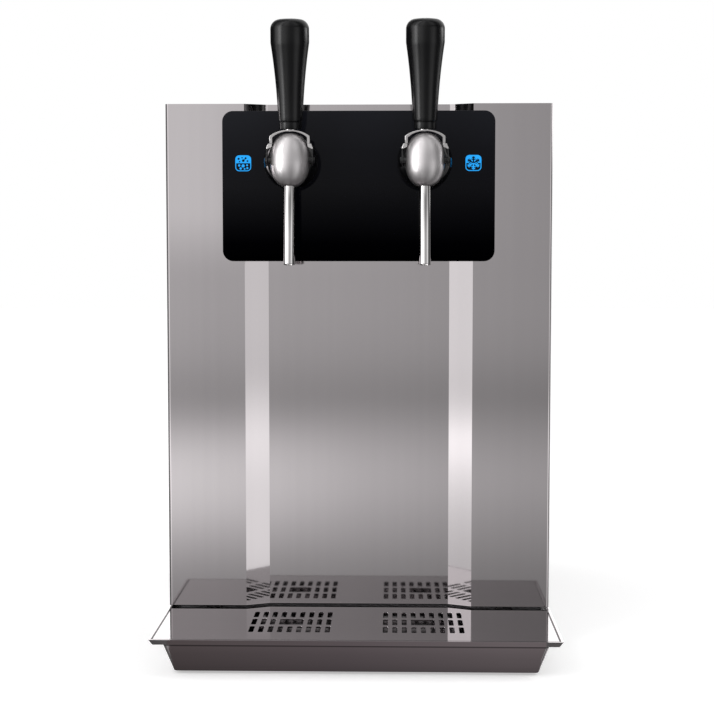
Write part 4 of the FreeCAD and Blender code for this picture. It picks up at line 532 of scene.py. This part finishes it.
def seat_at(place, lean=0.0, lift=0.0, back=0.0):
    """A place in millimetres, leaned about the side-to-side axis, then moved along the leaned axes."""
    return (Matrix.Translation(Vector(place) * MM) @ Matrix.Rotation(lean, 4, "X")
            @ Matrix.Translation(Vector((0, back, lift)) * MM))


# Sizes in millimetres. Heights are above the lever's hinge, along the lever.
GLASS_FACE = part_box("glass_panel")[0].y / MM
NOSE_OUT = 41.0
NOSE_WIDE = 19.3
NOSE_TALL = 26.9
NOSE_ROUND = 0.86
NOSE_LIFT = 0.3
NOSE_STEP = 3
BOSS = 3.0
BOSS_EDGE = 0.3
TUBE_OUT = 5.6
TUBE_BORE = 4.3
TUBE_EDGE = 0.35
TUBE_START = 14.2
HANDLE_BACK = 18.1
HANDLE_FOOT = 37.45
HANDLE_TALL = 98.2
GRIP_TALL = 23.0
FOOT_RADIUS, MIDDLE_RADIUS, GRIP_RADIUS = 12.1, 14.4, 18.85
FOOT_EDGE = 0.8
GRIP_CORNER = 9.4
FLARE_STEPS = 24
COLLAR_FOOT = 29.85
COLLAR_RADIUS = 11.1
COLLAR_BORE = 4.1
YOKE_HALF = 19.6
YOKE_TOP = 29.4
YOKE_RISE = 6.0
LEG_WIDE = 2.7
ARCH_SKIN = 1.3
FOOT_TOP = 16.2
EAR_INNER = 21.6
EAR_SKIN = 1.2
EAR_RADIUS = 5.6
STUD = 4.05


def handle_profile():
    """A smooth flare through three radii, from the foot to the grip, with a softly domed top."""
    flare = HANDLE_TALL - GRIP_TALL
    points = [(0, 0), (FOOT_RADIUS - 1.0, 0)] + arc((FOOT_RADIUS - FOOT_EDGE, FOOT_EDGE), FOOT_EDGE, -90, 0, 4)
    for step in range(1, FLARE_STEPS + 1):
        up = step / FLARE_STEPS
        radius = (FOOT_RADIUS * (1 - up) * (1 - 2 * up) + MIDDLE_RADIUS * 4 * up * (1 - up)
                  + GRIP_RADIUS * up * (2 * up - 1))
        points.append((radius, FOOT_EDGE + (flare - FOOT_EDGE) * up))
    points += arc((GRIP_RADIUS - GRIP_CORNER, HANDLE_TALL - GRIP_CORNER - 0.5), GRIP_CORNER, 0, 84, 14)
    return points + [(GRIP_RADIUS - GRIP_CORNER - 3, HANDLE_TALL - 0.1), (0, HANDLE_TALL)]


def collar_profile(tall):
    """A ring with a rounded foot and a small step near its top."""
    neck = COLLAR_RADIUS - 0.35
    return ([(COLLAR_BORE, 0)] + arc((COLLAR_RADIUS - 0.5, 0.5), 0.5, -90, 0, 4)
            + [(COLLAR_RADIUS, tall - 1.3), (neck, tall - 1.0), (neck, tall - 0.6)]
            + arc((COLLAR_RADIUS - 0.3, tall - 0.3), 0.3, 0, 90, 3) + [(COLLAR_BORE, tall)])


def nose_profile():
    """An egg a little squarer than an ellipse."""
    egg = []
    for angle in range(-90, 91, NOSE_STEP):
        out, up = math.cos(math.radians(angle)), math.sin(math.radians(angle))
        egg.append((NOSE_WIDE * abs(out) ** NOSE_ROUND,
                    math.copysign(NOSE_TALL * abs(up) ** NOSE_ROUND, up)))
    egg[0], egg[-1] = (0, -NOSE_TALL), (0, NOSE_TALL)
    return egg


def spout_profile(low):
    """A tube from inside the nose down to its broken end."""
    end = low - TUBE_EDGE
    return ([(TUBE_OUT, TUBE_START), (TUBE_OUT, end)] + arc((TUBE_OUT - TUBE_EDGE, end), TUBE_EDGE, 0, 90, 3)
            + arc((TUBE_BORE + TUBE_EDGE, end), TUBE_EDGE, 90, 180, 3) + [(TUBE_BORE, TUBE_START)])


def pivot_of(side):
    """The place of a lever's hinge, in millimetres."""
    hinge = next(joint for joint in frame["record"]["behaviour"]["joints"]
                 if joint["name"] == "lever_%s_pull" % side)
    return [value / MM for value in hinge["pos_m"]]


print("a handle is", HANDLE_TALL, "mm tall and", 2 * GRIP_RADIUS, "mm across its grip")

# %% [markdown]
# ## The turned pieces of a tap
# Each profile is turned about its own axis and seated by the hinge. The handle and the collar ride on the lever, and
# the nose and the spout on the housing. Each piece stands in for the engineering part that it redraws.

# %% Handles, collars, noses and spouts
def make_tap(side):
    """The four turned pieces of one tap."""
    pivot = pivot_of(side)
    across, axis_height = pivot[0], pivot[2]
    stem = dict(lean=LEVER_LEAN, back=HANDLE_BACK)

    mesh = bmesh.new()
    turn_into(mesh, handle_profile(), seat_at(pivot, lift=HANDLE_FOOT, **stem))
    handle = finish_piece("handle_" + side, mesh, ["black_handle"], "lever_" + side)
    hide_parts("tap_handle_" + side)

    mesh = bmesh.new()
    turn_into(mesh, collar_profile(HANDLE_FOOT - COLLAR_FOOT), seat_at(pivot, lift=COLLAR_FOOT, **stem), closed=True)
    collar = finish_piece("collar_" + side, mesh, ["black_handle"], "lever_" + side)
    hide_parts("lever_collar_" + side)

    mesh = bmesh.new()
    nose_middle = (across, GLASS_FACE - NOSE_OUT, axis_height + NOSE_LIFT)
    turn_into(mesh, nose_profile(), seat_at(nose_middle, lean=-SPOUT_LEAN), steps=96)
    egg_faces = len(mesh.faces)
    nose_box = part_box("tap_nose_" + side)
    boss_reach = (nose_box[1].x - nose_box[0].x) / MM / 2
    boss = [(0, -boss_reach)] + arc((BOSS - BOSS_EDGE, -boss_reach + BOSS_EDGE), BOSS_EDGE, -90, 0, 3)
    boss += [(radius, -height) for radius, height in reversed(boss)]
    turn_into(mesh, boss, Matrix.Translation(Vector(pivot) * MM) @ Matrix.Rotation(math.pi / 2, 4, "Y"), steps=32)
    for face in list(mesh.faces)[egg_faces:]:
        face.material_index = 1
    nose = finish_piece("nose_" + side, mesh, ["satin_nose", "blackened_screw"], "housing", smooth=50)
    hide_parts("tap_nose_" + side)

    mesh = bmesh.new()
    drop = axis_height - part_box("tap_spout_" + side)[0].z / MM
    low = drop / math.cos(SPOUT_LEAN) - TUBE_OUT * math.tan(SPOUT_LEAN)
    spout_seat = seat_at((across, GLASS_FACE - NOSE_OUT, axis_height), lean=math.pi - SPOUT_LEAN)
    turn_into(mesh, spout_profile(low), spout_seat, closed=True)
    spout = finish_piece("spout_" + side, mesh, ["spout_chrome"], "housing", smooth=50)
    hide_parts("tap_spout_" + side)
    print(side, "tap: pivot", [round(value, 1) for value in pivot], "spout length", round(low - TUBE_START, 1))


for side in ("left", "right"):
    make_tap(side)

# %% [markdown]
# ## The forks that carry the handles
# Each lever is a small fork over the nose: a thin arch, two legs with flared feet, and two dark ears that turn on the
# screws. It is bent from strip, so it is drawn the same way: each strip is an outline seen from the front or from the
# side, pulled straight out to its width. A narrow band runs back from the arch to the ring under the collar. The
# edges are rounded by about a third of a millimetre, so that the thin strip catches light against the black glass.

# %% Yokes
# ARCH_HALF, ARCH_STEP and YOKE_EDGE_ANGLE are in degrees, the rest in millimetres. Depths run back from the hinge.
ARCH_HALF = 54
ARCH_STEP = 6
ARCH_DEPTH = (0.6, 6.6)
FOOT_DEPTH = (0.3, 6.6)
BAND_DEPTH = (6.5, 27.0)
BAND_HALF = 13.2
EAR_TOP = 11.9
STUD_WALL = 2
YOKE_EDGE = 0.35
YOKE_EDGE_ANGLE = 25


def slab(mesh, outline, near, far, seat, material=0, across_axis=False):
    """Pulls an outline out between two planes: front to back, or sideways when its points are (back, up)."""
    rings = []
    for reach in (near, far):
        points = [(reach, first, second) if across_axis else (first, reach, second) for first, second in outline]
        rings.append([mesh.verts.new(seat @ (Vector(point) * MM)) for point in points])
    count = len(outline)
    faces = [mesh.faces.new((rings[0][n], rings[0][(n + 1) % count], rings[1][(n + 1) % count], rings[1][n]))
             for n in range(count)]
    faces += [mesh.faces.new(rings[0][::-1]), mesh.faces.new(rings[1])]
    for face in faces:
        face.material_index = material


def make_yoke(side):
    """The fork that joins the collar to the hinge: a thin arch, two legs with flared feet and two dark ears."""
    pivot = pivot_of(side)
    seat = Matrix.Translation(Vector(pivot) * MM) @ Matrix.Rotation(LEVER_LEAN, 4, "X")
    mesh = bmesh.new()
    widest, deepest = math.sin(math.radians(ARCH_HALF)), 1 - math.cos(math.radians(ARCH_HALF))
    over = [(YOKE_HALF * math.sin(math.radians(angle)) / widest,
             YOKE_TOP - YOKE_RISE * (1 - math.cos(math.radians(angle))) / deepest)
            for angle in range(-ARCH_HALF, ARCH_HALF + 1, ARCH_STEP)]
    under = [(x * (YOKE_HALF - LEG_WIDE) / YOKE_HALF, z - ARCH_SKIN) for x, z in reversed(over)]
    fork = [(-YOKE_HALF, FOOT_TOP)] + over + [(YOKE_HALF, FOOT_TOP), (YOKE_HALF - LEG_WIDE, FOOT_TOP)]
    fork += under + [(LEG_WIDE - YOKE_HALF, FOOT_TOP)]
    slab(mesh, fork, *ARCH_DEPTH, seat)
    band = [(x, z) for x, z in over if abs(x) < BAND_HALF]
    slab(mesh, band + [(x, z - ARCH_SKIN) for x, z in reversed(band)], *BAND_DEPTH, seat)
    for sign in (-1, 1):
        foot = [(sign * x, z) for x, z in ((YOKE_HALF + 1.5, FOOT_TOP), (YOKE_HALF - LEG_WIDE + 0.2, FOOT_TOP),
                                           (YOKE_HALF - LEG_WIDE + 0.5, 12.9), (20.6, 11.4), (22.75, 9.9),
                                           (22.75, 12.0))]
        slab(mesh, foot, *FOOT_DEPTH, seat)
        ear = arc((0, 0), EAR_RADIUS, -180, 0, 16) + [(ARCH_DEPTH[1], EAR_TOP), (ARCH_DEPTH[0], EAR_TOP)]
        slab(mesh, ear, sign * EAR_INNER, sign * (EAR_INNER + EAR_SKIN), seat, material=1, across_axis=True)
    under_arch, outside = YOKE_TOP - ARCH_SKIN, STUD + STUD_WALL
    ring = [(STUD, under_arch), (outside, under_arch), (outside, COLLAR_FOOT), (STUD, COLLAR_FOOT)]
    turn_into(mesh, ring, seat_at(pivot, lean=LEVER_LEAN, back=HANDLE_BACK), closed=True, steps=40)
    yoke = finish_piece("yoke_" + side, mesh, ["spout_chrome", "blackened_screw"], "lever_" + side)
    soften(yoke, YOKE_EDGE, YOKE_EDGE_ANGLE)
    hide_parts("tap_yoke_" + side)
    print(side, "yoke:", len(yoke.data.polygons), "faces before its edges are rounded")


for side in ("left", "right"):
    make_yoke(side)

# %% [markdown]
# ## The two lit signs
# Each tap has its sign beside it: bubbles for sparkling water and a snow crystal for chilled water. A sign is
# a rounded square. Its upper half is lit with a dark drawing, and its lower half is dark with a lit drawing, so
# the drawing changes colour as it crosses the middle. It is drawn as thin plates on the glass: a plate is an outline
# pulled out a tenth or two of a millimetre, which keeps the edges of the drawing exact at any distance. Each layer
# stands a little further out than the one it covers, so that no two lie in the same plane.

# %% Signs
# Sizes in millimetres. LIT and DARK are the numbers of the sign's two materials.
TILE = 15.9
TILE_CORNER = 4.0
RIM = 0.85
TILE_PROUD, DARK_PROUD, DARK_DRAWING_PROUD, LIT_DRAWING_PROUD = 0.08, 0.12, 0.15, 0.18
LIT, DARK = 0, 1
SIGN_ASIDE = 115.0
LEFT_SIGN_SHIFT = 0.6


def rounded_square(half, corner, steps=6):
    """The points of a square with round corners, anticlockwise, as (across, up)."""
    points = []
    for quarter in range(4):
        middle = math.radians(45 + 90 * quarter)
        cx = math.copysign(half - corner, math.cos(middle))
        cz = math.copysign(half - corner, math.sin(middle))
        for step in range(steps + 1):
            angle = math.radians(90 * quarter + 90 * step / steps)
            points.append((cx + corner * math.cos(angle), cz + corner * math.sin(angle)))
    return points


def disc(across, up, radius, steps=20):
    """The points of a round spot."""
    turn = 2 * math.pi / steps
    return [(across + radius * math.cos(turn * n), up + radius * math.sin(turn * n)) for n in range(steps)]


def bar(start, finish, width):
    """A thin rectangle between two points."""
    along = Vector(finish) - Vector(start)
    side = Vector((-along.y, along.x)).normalized() * width / 2
    corners = (Vector(start) - side, Vector(finish) - side, Vector(finish) + side, Vector(start) + side)
    return [(p.x, p.y) for p in corners]


def keep_side(outline, upper):
    """The part of a convex outline above or below the middle line."""
    kept = []
    for (x0, z0), (x1, z1) in zip(outline, outline[1:] + outline[:1]):
        inside = z0 >= 0 if upper else z0 <= 0
        if inside:
            kept.append((x0, z0))
        if (z0 > 0 > z1) or (z0 < 0 < z1):
            share = z0 / (z0 - z1)
            kept.append((x0 + share * (x1 - x0), 0))
    return kept


def add_plate(mesh, outline, face_y, proud, centre, material):
    """One flat plate of the sign, standing a given height off the glass."""
    if len(outline) < 3:
        return
    back = [mesh.verts.new((centre[0] + x * MM, face_y, centre[1] + z * MM)) for x, z in outline]
    front = [mesh.verts.new((centre[0] + x * MM, face_y - proud * MM, centre[1] + z * MM)) for x, z in outline]
    count = len(outline)
    for n in range(count):
        face = mesh.faces.new((back[n], back[(n + 1) % count], front[(n + 1) % count], front[n]))
        face.material_index = material
    for ring in (front, list(reversed(back))):
        mesh.faces.new(ring).material_index = material


def make_sign(name, across, drawing):
    """A tile with a lit upper half and a lit rim, then the drawing in the opposite tone."""
    mesh = bmesh.new()
    centre = (across, sign_height)
    half = TILE / 2
    outer = rounded_square(half, TILE_CORNER)
    inner = rounded_square(half - RIM, TILE_CORNER - RIM)
    add_plate(mesh, outer, glass_low.y, TILE_PROUD, centre, LIT)
    add_plate(mesh, keep_side(inner, upper=False), glass_low.y, DARK_PROUD, centre, DARK)
    for shape in drawing:
        add_plate(mesh, keep_side(shape, upper=True), glass_low.y, DARK_DRAWING_PROUD, centre, DARK)
        add_plate(mesh, keep_side(shape, upper=False), glass_low.y, LIT_DRAWING_PROUD, centre, LIT)
    return finish_piece(name, mesh, ["sign_light", "sign_dark"], "housing", smooth=0)


ball_box, lamps_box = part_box("tap_ball_left"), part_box("icon_lights")
sign_height = (ball_box[0].z + ball_box[1].z) / 2
sign_aside = (lamps_box[1].x + lamps_box[0].x) / 2 + SIGN_ASIDE * MM
bubbles = [disc(-4.6, 4.4, 1.1), disc(-1.1, 5.4, 0.7), disc(2.4, 5.0, 1.0), disc(0.1, 2.6, 1.35), disc(4.3, 2.2, 0.9),
           disc(-3.7, 1.6, 0.75), disc(1.6, 3.9, 0.45), disc(-4.0, -2.2, 1.15), disc(-0.1, -2.6, 1.6),
           disc(3.9, -2.0, 1.0), disc(-2.6, -5.2, 1.2), disc(1.4, -5.6, 0.9), disc(4.1, -4.9, 1.05)]
ARM_LENGTH, ARM_WIDE = 6.6, 1.25
TWIGS = ((2.9, 2.3), (4.8, 1.9))
TWIG_LEAN, TWIG_WIDE = 0.95, 0.95
crystal = []
for arm in range(6):
    turn = math.radians(90 + 60 * arm)
    out = Vector((math.cos(turn), math.sin(turn)))
    crystal.append(bar((0, 0), tuple(out * ARM_LENGTH), ARM_WIDE))
    for reach, length in TWIGS:
        for lean in (-TWIG_LEAN, TWIG_LEAN):
            twig = Vector((math.cos(turn + lean), math.sin(turn + lean)))
            crystal.append(bar(tuple(out * reach), tuple(out * reach + twig * length), TWIG_WIDE))
make_sign("sign_bubbles", -sign_aside - LEFT_SIGN_SHIFT * MM, bubbles)
make_sign("sign_crystal", sign_aside, crystal)
print("signs at", round(sign_aside, 4), "aside and", round(sign_height, 4), "up")

# %% [markdown]
# ## The studio
# Steel has almost no colour of its own: what is seen in it is the room. So the room is part of making the machine
# look right. It is painted on the sky by direction, and only shiny surfaces look at it. The eye sees plain white
# behind the machine, and matt surfaces get an even white light.
#
# The painting is a curve round the compass times a curve over the height, and there are several of each for different
# parts of the room. Lamps and walls weren't used instead, because with them no grey can be set alone.
# - Ahead, where the front sheet looks, the greys are soft: lighter on the left, dimmer right of the middle, with a
#   dark line where the far floor ends and a pale stretch of floor below that.
# - On the left there is a bright window, which puts the long highlight on the noses and spouts. The left and the
#   right have their own height curves, because the two slanting faces of the front sheet look there.
# - A narrow bright band on the right draws the thin line down the handles.
# - The far sides and the space behind have curves of their own, for what the top, the sides and the tray mirror.

# %% Room and floor
world = bpy.data.worlds.new("studio")
bpy.context.scene.world = world
world.use_nodes = True
world.node_tree.nodes.clear()
wiring = Wiring(world.node_tree)
heading = wiring.box("SeparateXYZ", {"Vector": wiring.box("TexCoord").outputs["Generated"]})
ahead = wiring.sum_of("MULTIPLY", heading.outputs["Y"], -1.0)
compass = wiring.sum_of("ARCTAN2", heading.outputs["X"], ahead)
compass = wiring.sum_of("MULTIPLY_ADD", compass, 1 / (2 * math.pi), 0.5)
climb = wiring.sum_of("ARCSINE", heading.outputs["Z"])
climb = wiring.sum_of("MULTIPLY_ADD", climb, 1 / math.pi, 0.5)
ROOM_PEAK = 6.5
EVEN_WHITE = 0.75


def by_compass(tones):
    """A curve over the compass: -90 is the viewer's left, 0 is straight ahead of the machine, 90 the right."""
    return wiring.ramp(compass, [((angle + 180) / 360, tone / ROOM_PEAK) for angle, tone in tones])


def by_climb(tones):
    """A curve over the height above the horizon, in degrees."""
    return wiring.ramp(climb, [((angle + 90) / 180, tone / ROOM_PEAK) for angle, tone in tones])


def mixed(mask, first, second):
    """The first colour where the mask is black, the second where it is white."""
    return wiring.box("Mix", {0: mask, 6: first, 7: second}, data_type="RGBA").outputs[2]


SIDES_LEFT = [(-162, 1.0), (-150, 0.3), (-104, 0.12), (-97, 0.3), (-91, 1.3), (-80, 1.7), (-68, 3.0), (-62, 6.5),
              (-54, 6.5), (-50, 3.0), (-47.5, 1.05), (-42, 1.0), (-39, 1.5), (-19, 1.2)]
SIDES_RIGHT = [(30, 0.45), (36, 0.93), (39, 0.86), (46, 0.86), (50, 1.1), (58, 0.75), (70, 0.12), (100, 0.12),
               (110, 1.1), (160, 1.1)]
wall = by_compass(SIDES_LEFT + [(-12, 0.68), (-7.6, 0.55), (-4.1, 0.525), (-1.5, 0.5), (1.2, 0.472), (4.5, 0.432),
                                (5.7, 0.417), (12, 0.4)] + SIDES_RIGHT)
wall_high = by_compass(SIDES_LEFT + [(-12, 0.85), (-7.6, 0.81), (-6.2, 0.76), (-4.1, 0.66), (1.2, 0.53),
                                     (4.5, 0.44), (5.7, 0.425), (12, 0.4)] + SIDES_RIGHT)
sheen = by_compass(SIDES_LEFT + [(-12, 0.86), (-7.6, 0.69), (-4.1, 0.60), (-1.5, 0.5), (1.2, 0.44), (4.5, 0.375),
                                 (5.7, 0.36), (12, 0.36)] + SIDES_RIGHT)
is_high = by_climb([(-90, 0), (-0.6, 0), (1.4, ROOM_PEAK), (90, ROOM_PEAK)])
is_sheen = by_climb([(-90, 0), (-13, 0), (-11.3, 0.5 * ROOM_PEAK), (-10, ROOM_PEAK), (-7.4, ROOM_PEAK),
                     (-5.9, 0), (90, 0)])
around = mixed(is_sheen, mixed(is_high, wall, wall_high), sheen)
ahead_rise = by_climb([(-90, 0.12), (-60, 0.35), (-40, 0.5), (-25, 0.62), (-14, 0.56), (-12.5, 0.67), (-11.9, 0.76),
                       (-11.3, 0.89), (-10.7, 1.03), (-10.1, 1.16), (-9.5, 1.30), (-8.9, 1.37), (-8.3, 1.37),
                       (-7.66, 1.28), (-7.05, 1.12), (-6.45, 0.925), (-5.8, 0.725), (-5.2, 0.735), (-4.6, 0.83),
                       (-4.0, 0.895), (-3.4, 0.95), (-2.1, 1.0), (7, 1.0), (12.5, 0.56), (15.3, 0.52), (16.4, 0.95),
                       (25, 1.0), (45, 1.2), (90, 1.0)])
right_rise = by_climb([(-90, 0.15), (-60, 0.45), (-30, 0.85), (-14, 0.9), (-11.3, 1.24), (-9.5, 1.28),
                       (-8.9, 1.29), (-8.3, 1.37), (-7.66, 1.46), (-7.05, 1.48), (-6.45, 1.37), (-5.8, 1.2),
                       (-5.2, 1.04), (-4.6, 0.95), (-3, 1.0), (7, 1.0), (12.5, 0.57), (15.3, 0.55), (16.4, 0.17),
                       (24, 0.2), (32, 0.9), (90, 0.95)])
left_rise = by_climb([(-90, 0.01), (-55, 0.04), (-40, 0.08), (-30, 0.1), (-21, 0.15), (-15, 0.4), (-12, 0.7),
                      (-11.3, 0.75), (-10.1, 0.89), (-9.5, 1.0), (-8.9, 1.14), (-8.3, 1.28), (-7.66, 1.5),
                      (-7.05, 1.52), (-6.45, 1.23), (-5.8, 1.0), (-5.2, 0.9), (-4.6, 0.97), (-3, 1.0), (14, 1.0),
                      (34, 0.45), (90, 0.4)])
to_right = by_compass([(-180, 0), (26, 0), (38, ROOM_PEAK), (80, ROOM_PEAK), (100, 0), (180, 0)])
to_left = by_compass([(-180, 0), (-100, 0), (-80, ROOM_PEAK), (-40, ROOM_PEAK), (-28, 0), (180, 0)])
behind_tones = [(-90, 0.3), (-14, 0.6), (0, 0.8), (9, 1.0), (22, 0.8), (90, 0.7)]
behind_right_rise = by_climb(sorted(behind_tones + [(12.5, 1.55), (16, 1.55)]))
behind_left_rise = by_climb(sorted(behind_tones + [(12.5, 1.62), (16, 1.62)]))
far_side_rise = by_climb([(-90, 0.6), (-18, 0.65), (-9, 0.1), (9, 0.1), (18, 0.8), (90, 0.7)])
right_flank_rise = by_climb([(-90, 0.6), (-18, 0.65), (3, 0.8), (5, 4.0), (8, 4.0), (10.5, 0.8), (90, 0.7)])
to_far_sides = by_compass([(-170, ROOM_PEAK), (-120, ROOM_PEAK), (-100, 0), (126, 0), (134, ROOM_PEAK)])
to_right_flank = by_compass([(98, 0), (106, ROOM_PEAK)])
to_behind = by_compass([(0, 0), (166, 0), (174, ROOM_PEAK)])
to_behind_left = by_compass([(-167, ROOM_PEAK), (-160, 0)])
rise = mixed(to_left, mixed(to_right, ahead_rise, right_rise), left_rise)
rise = mixed(to_far_sides, mixed(to_right_flank, rise, right_flank_rise), far_side_rise)
rise = mixed(to_behind, mixed(to_behind_left, rise, behind_left_rise), behind_right_rise)
rays = wiring.box("LightPath")
shiny = wiring.sum_of("MAXIMUM", rays.outputs["Is Glossy Ray"], rays.outputs["Is Transmission Ray"])
# Both curves were divided by the peak to fit a ramp, so their product is multiplied by its square.
room_light = wiring.box("Background", {"Color": wiring.product(around, rise), "Strength": ROOM_PEAK * ROOM_PEAK})
even_light = wiring.box("Background", {"Color": (1, 1, 1, 1), "Strength": EVEN_WHITE})
white_view = wiring.box("Background", {"Color": (1, 1, 1, 1), "Strength": 1.0})
for_shiny = wiring.box("MixShader", {0: shiny, 1: even_light.outputs[0], 2: room_light.outputs[0]})
for_eye = wiring.box("MixShader", {0: rays.outputs["Is Camera Ray"], 1: for_shiny.outputs[0],
                                   2: white_view.outputs[0]})
wiring.box("OutputWorld", {"Surface": for_eye.outputs[0]})


def stage_object(name, mesh, finish):
    """Turns a bmesh into a piece of the studio."""
    data = bpy.data.meshes.new(name)
    mesh.to_mesh(data)
    mesh.free()
    data.materials.append(finish)
    return put_in_scene(name, data)


# The floor lies just under the machine's feet. It glows a little, for the eye only, so that it runs into the white
# behind and still shows the machine's shadow.
FLOOR_HALF = 9
FLOOR_DROP = 0.0002
FLOOR_GLOW = 0.42
finish, wiring, shader, place = new_finish("floor")
shade = wiring.box("TexNoise", {"Vector": place, "Scale": 3.0, "Detail": 2.0})
wiring.fill(shader, {"Base Color": wiring.ramp(shade.outputs[0], [(0.3, 0.80), (0.7, 0.82)]),
                     "Roughness": 0.9, "Specular IOR Level": 0.0})
rays = wiring.box("LightPath")
glow = wiring.box("Emission", {"Color": (1, 1, 1, 1), "Strength": wiring.sum_of(
    "MULTIPLY", rays.outputs["Is Camera Ray"], FLOOR_GLOW)})
added = wiring.box("AddShader", {0: shader.outputs[0], 1: glow.outputs[0]})
show_instead(finish, wiring, added.outputs[0])
floor_mesh = bmesh.new()
bmesh.ops.create_grid(floor_mesh, x_segments=4, y_segments=4, size=FLOOR_HALF)
floor = stage_object("floor", floor_mesh, finish)
floor.location.z = -FLOOR_DROP
floor.visible_glossy = False
print("a room of", len(world.node_tree.nodes), "boxes and a floor", 2 * FLOOR_HALF, "m wide")

# %% [markdown]
# ## The card on the table, and two lamps
# The tray's front leans over the table and would shine as white as the table does. So a dark card lies on the table
# just below it, out of sight, and only shiny surfaces see it. The card is a little lighter on the right, which
# gives the tray's front its slow change of tone. Two weak square lamps, which the steel doesn't see, light the matt
# surfaces from the left and the right.

# %% Card and lamps
CARD_HALF = 0.183
CARD_FRONT, CARD_BACK = -0.115, 0.05
CARD_LIFT = 0.0002
finish, wiring, shader, place = new_finish("card")
paper = wiring.box("TexNoise", {"Vector": place, "Scale": 6.0, "Detail": 2.0})
along = wiring.sum_of("MULTIPLY_ADD", paper.outputs[0], 0.02, wiring.split(place, "X"))
along = wiring.sum_of("MULTIPLY_ADD", along, 2.0, 0.5)
tone = wiring.ramp(along, [(0.1, (0.105, 0.09, 0.09)), (0.5, (0.14, 0.122, 0.128)), (0.8, (0.185, 0.165, 0.17))])
show_instead(finish, wiring, wiring.box("Emission", {"Color": tone, "Strength": 1.0}).outputs[0])
card_mesh = bmesh.new()
for x, y in ((-CARD_HALF, CARD_FRONT), (CARD_HALF, CARD_FRONT), (CARD_HALF, CARD_BACK), (-CARD_HALF, CARD_BACK)):
    card_mesh.verts.new((x, tray_low.y + y, CARD_LIFT))
card_mesh.faces.new(card_mesh.verts)
card = stage_object("card", card_mesh, finish)
card.visible_camera = False
card.visible_diffuse = False
card.visible_shadow = False


def soft_lamp(name, place, aim, size, power):
    """A square lamp that faces a point."""
    data = bpy.data.lights.new(name, "AREA")
    data.shape = "SQUARE"
    data.size = size
    data.energy = power
    lamp = put_in_scene(name, data)
    lamp.location = place
    lamp.rotation_euler = (Vector(aim) - Vector(place)).to_track_quat("-Z", "Y").to_euler()
    lamp.visible_glossy = False


MACHINE_MIDDLE = (0, 0, 0.3)
soft_lamp("lamp_left", (-1.8, -1.6, 2.0), MACHINE_MIDDLE, size=1.2, power=18)
soft_lamp("lamp_right", (1.6, -0.6, 1.6), MACHINE_MIDDLE, size=0.8, power=8)
bpy.context.scene.view_settings.view_transform = "Standard"
print("studio ready")
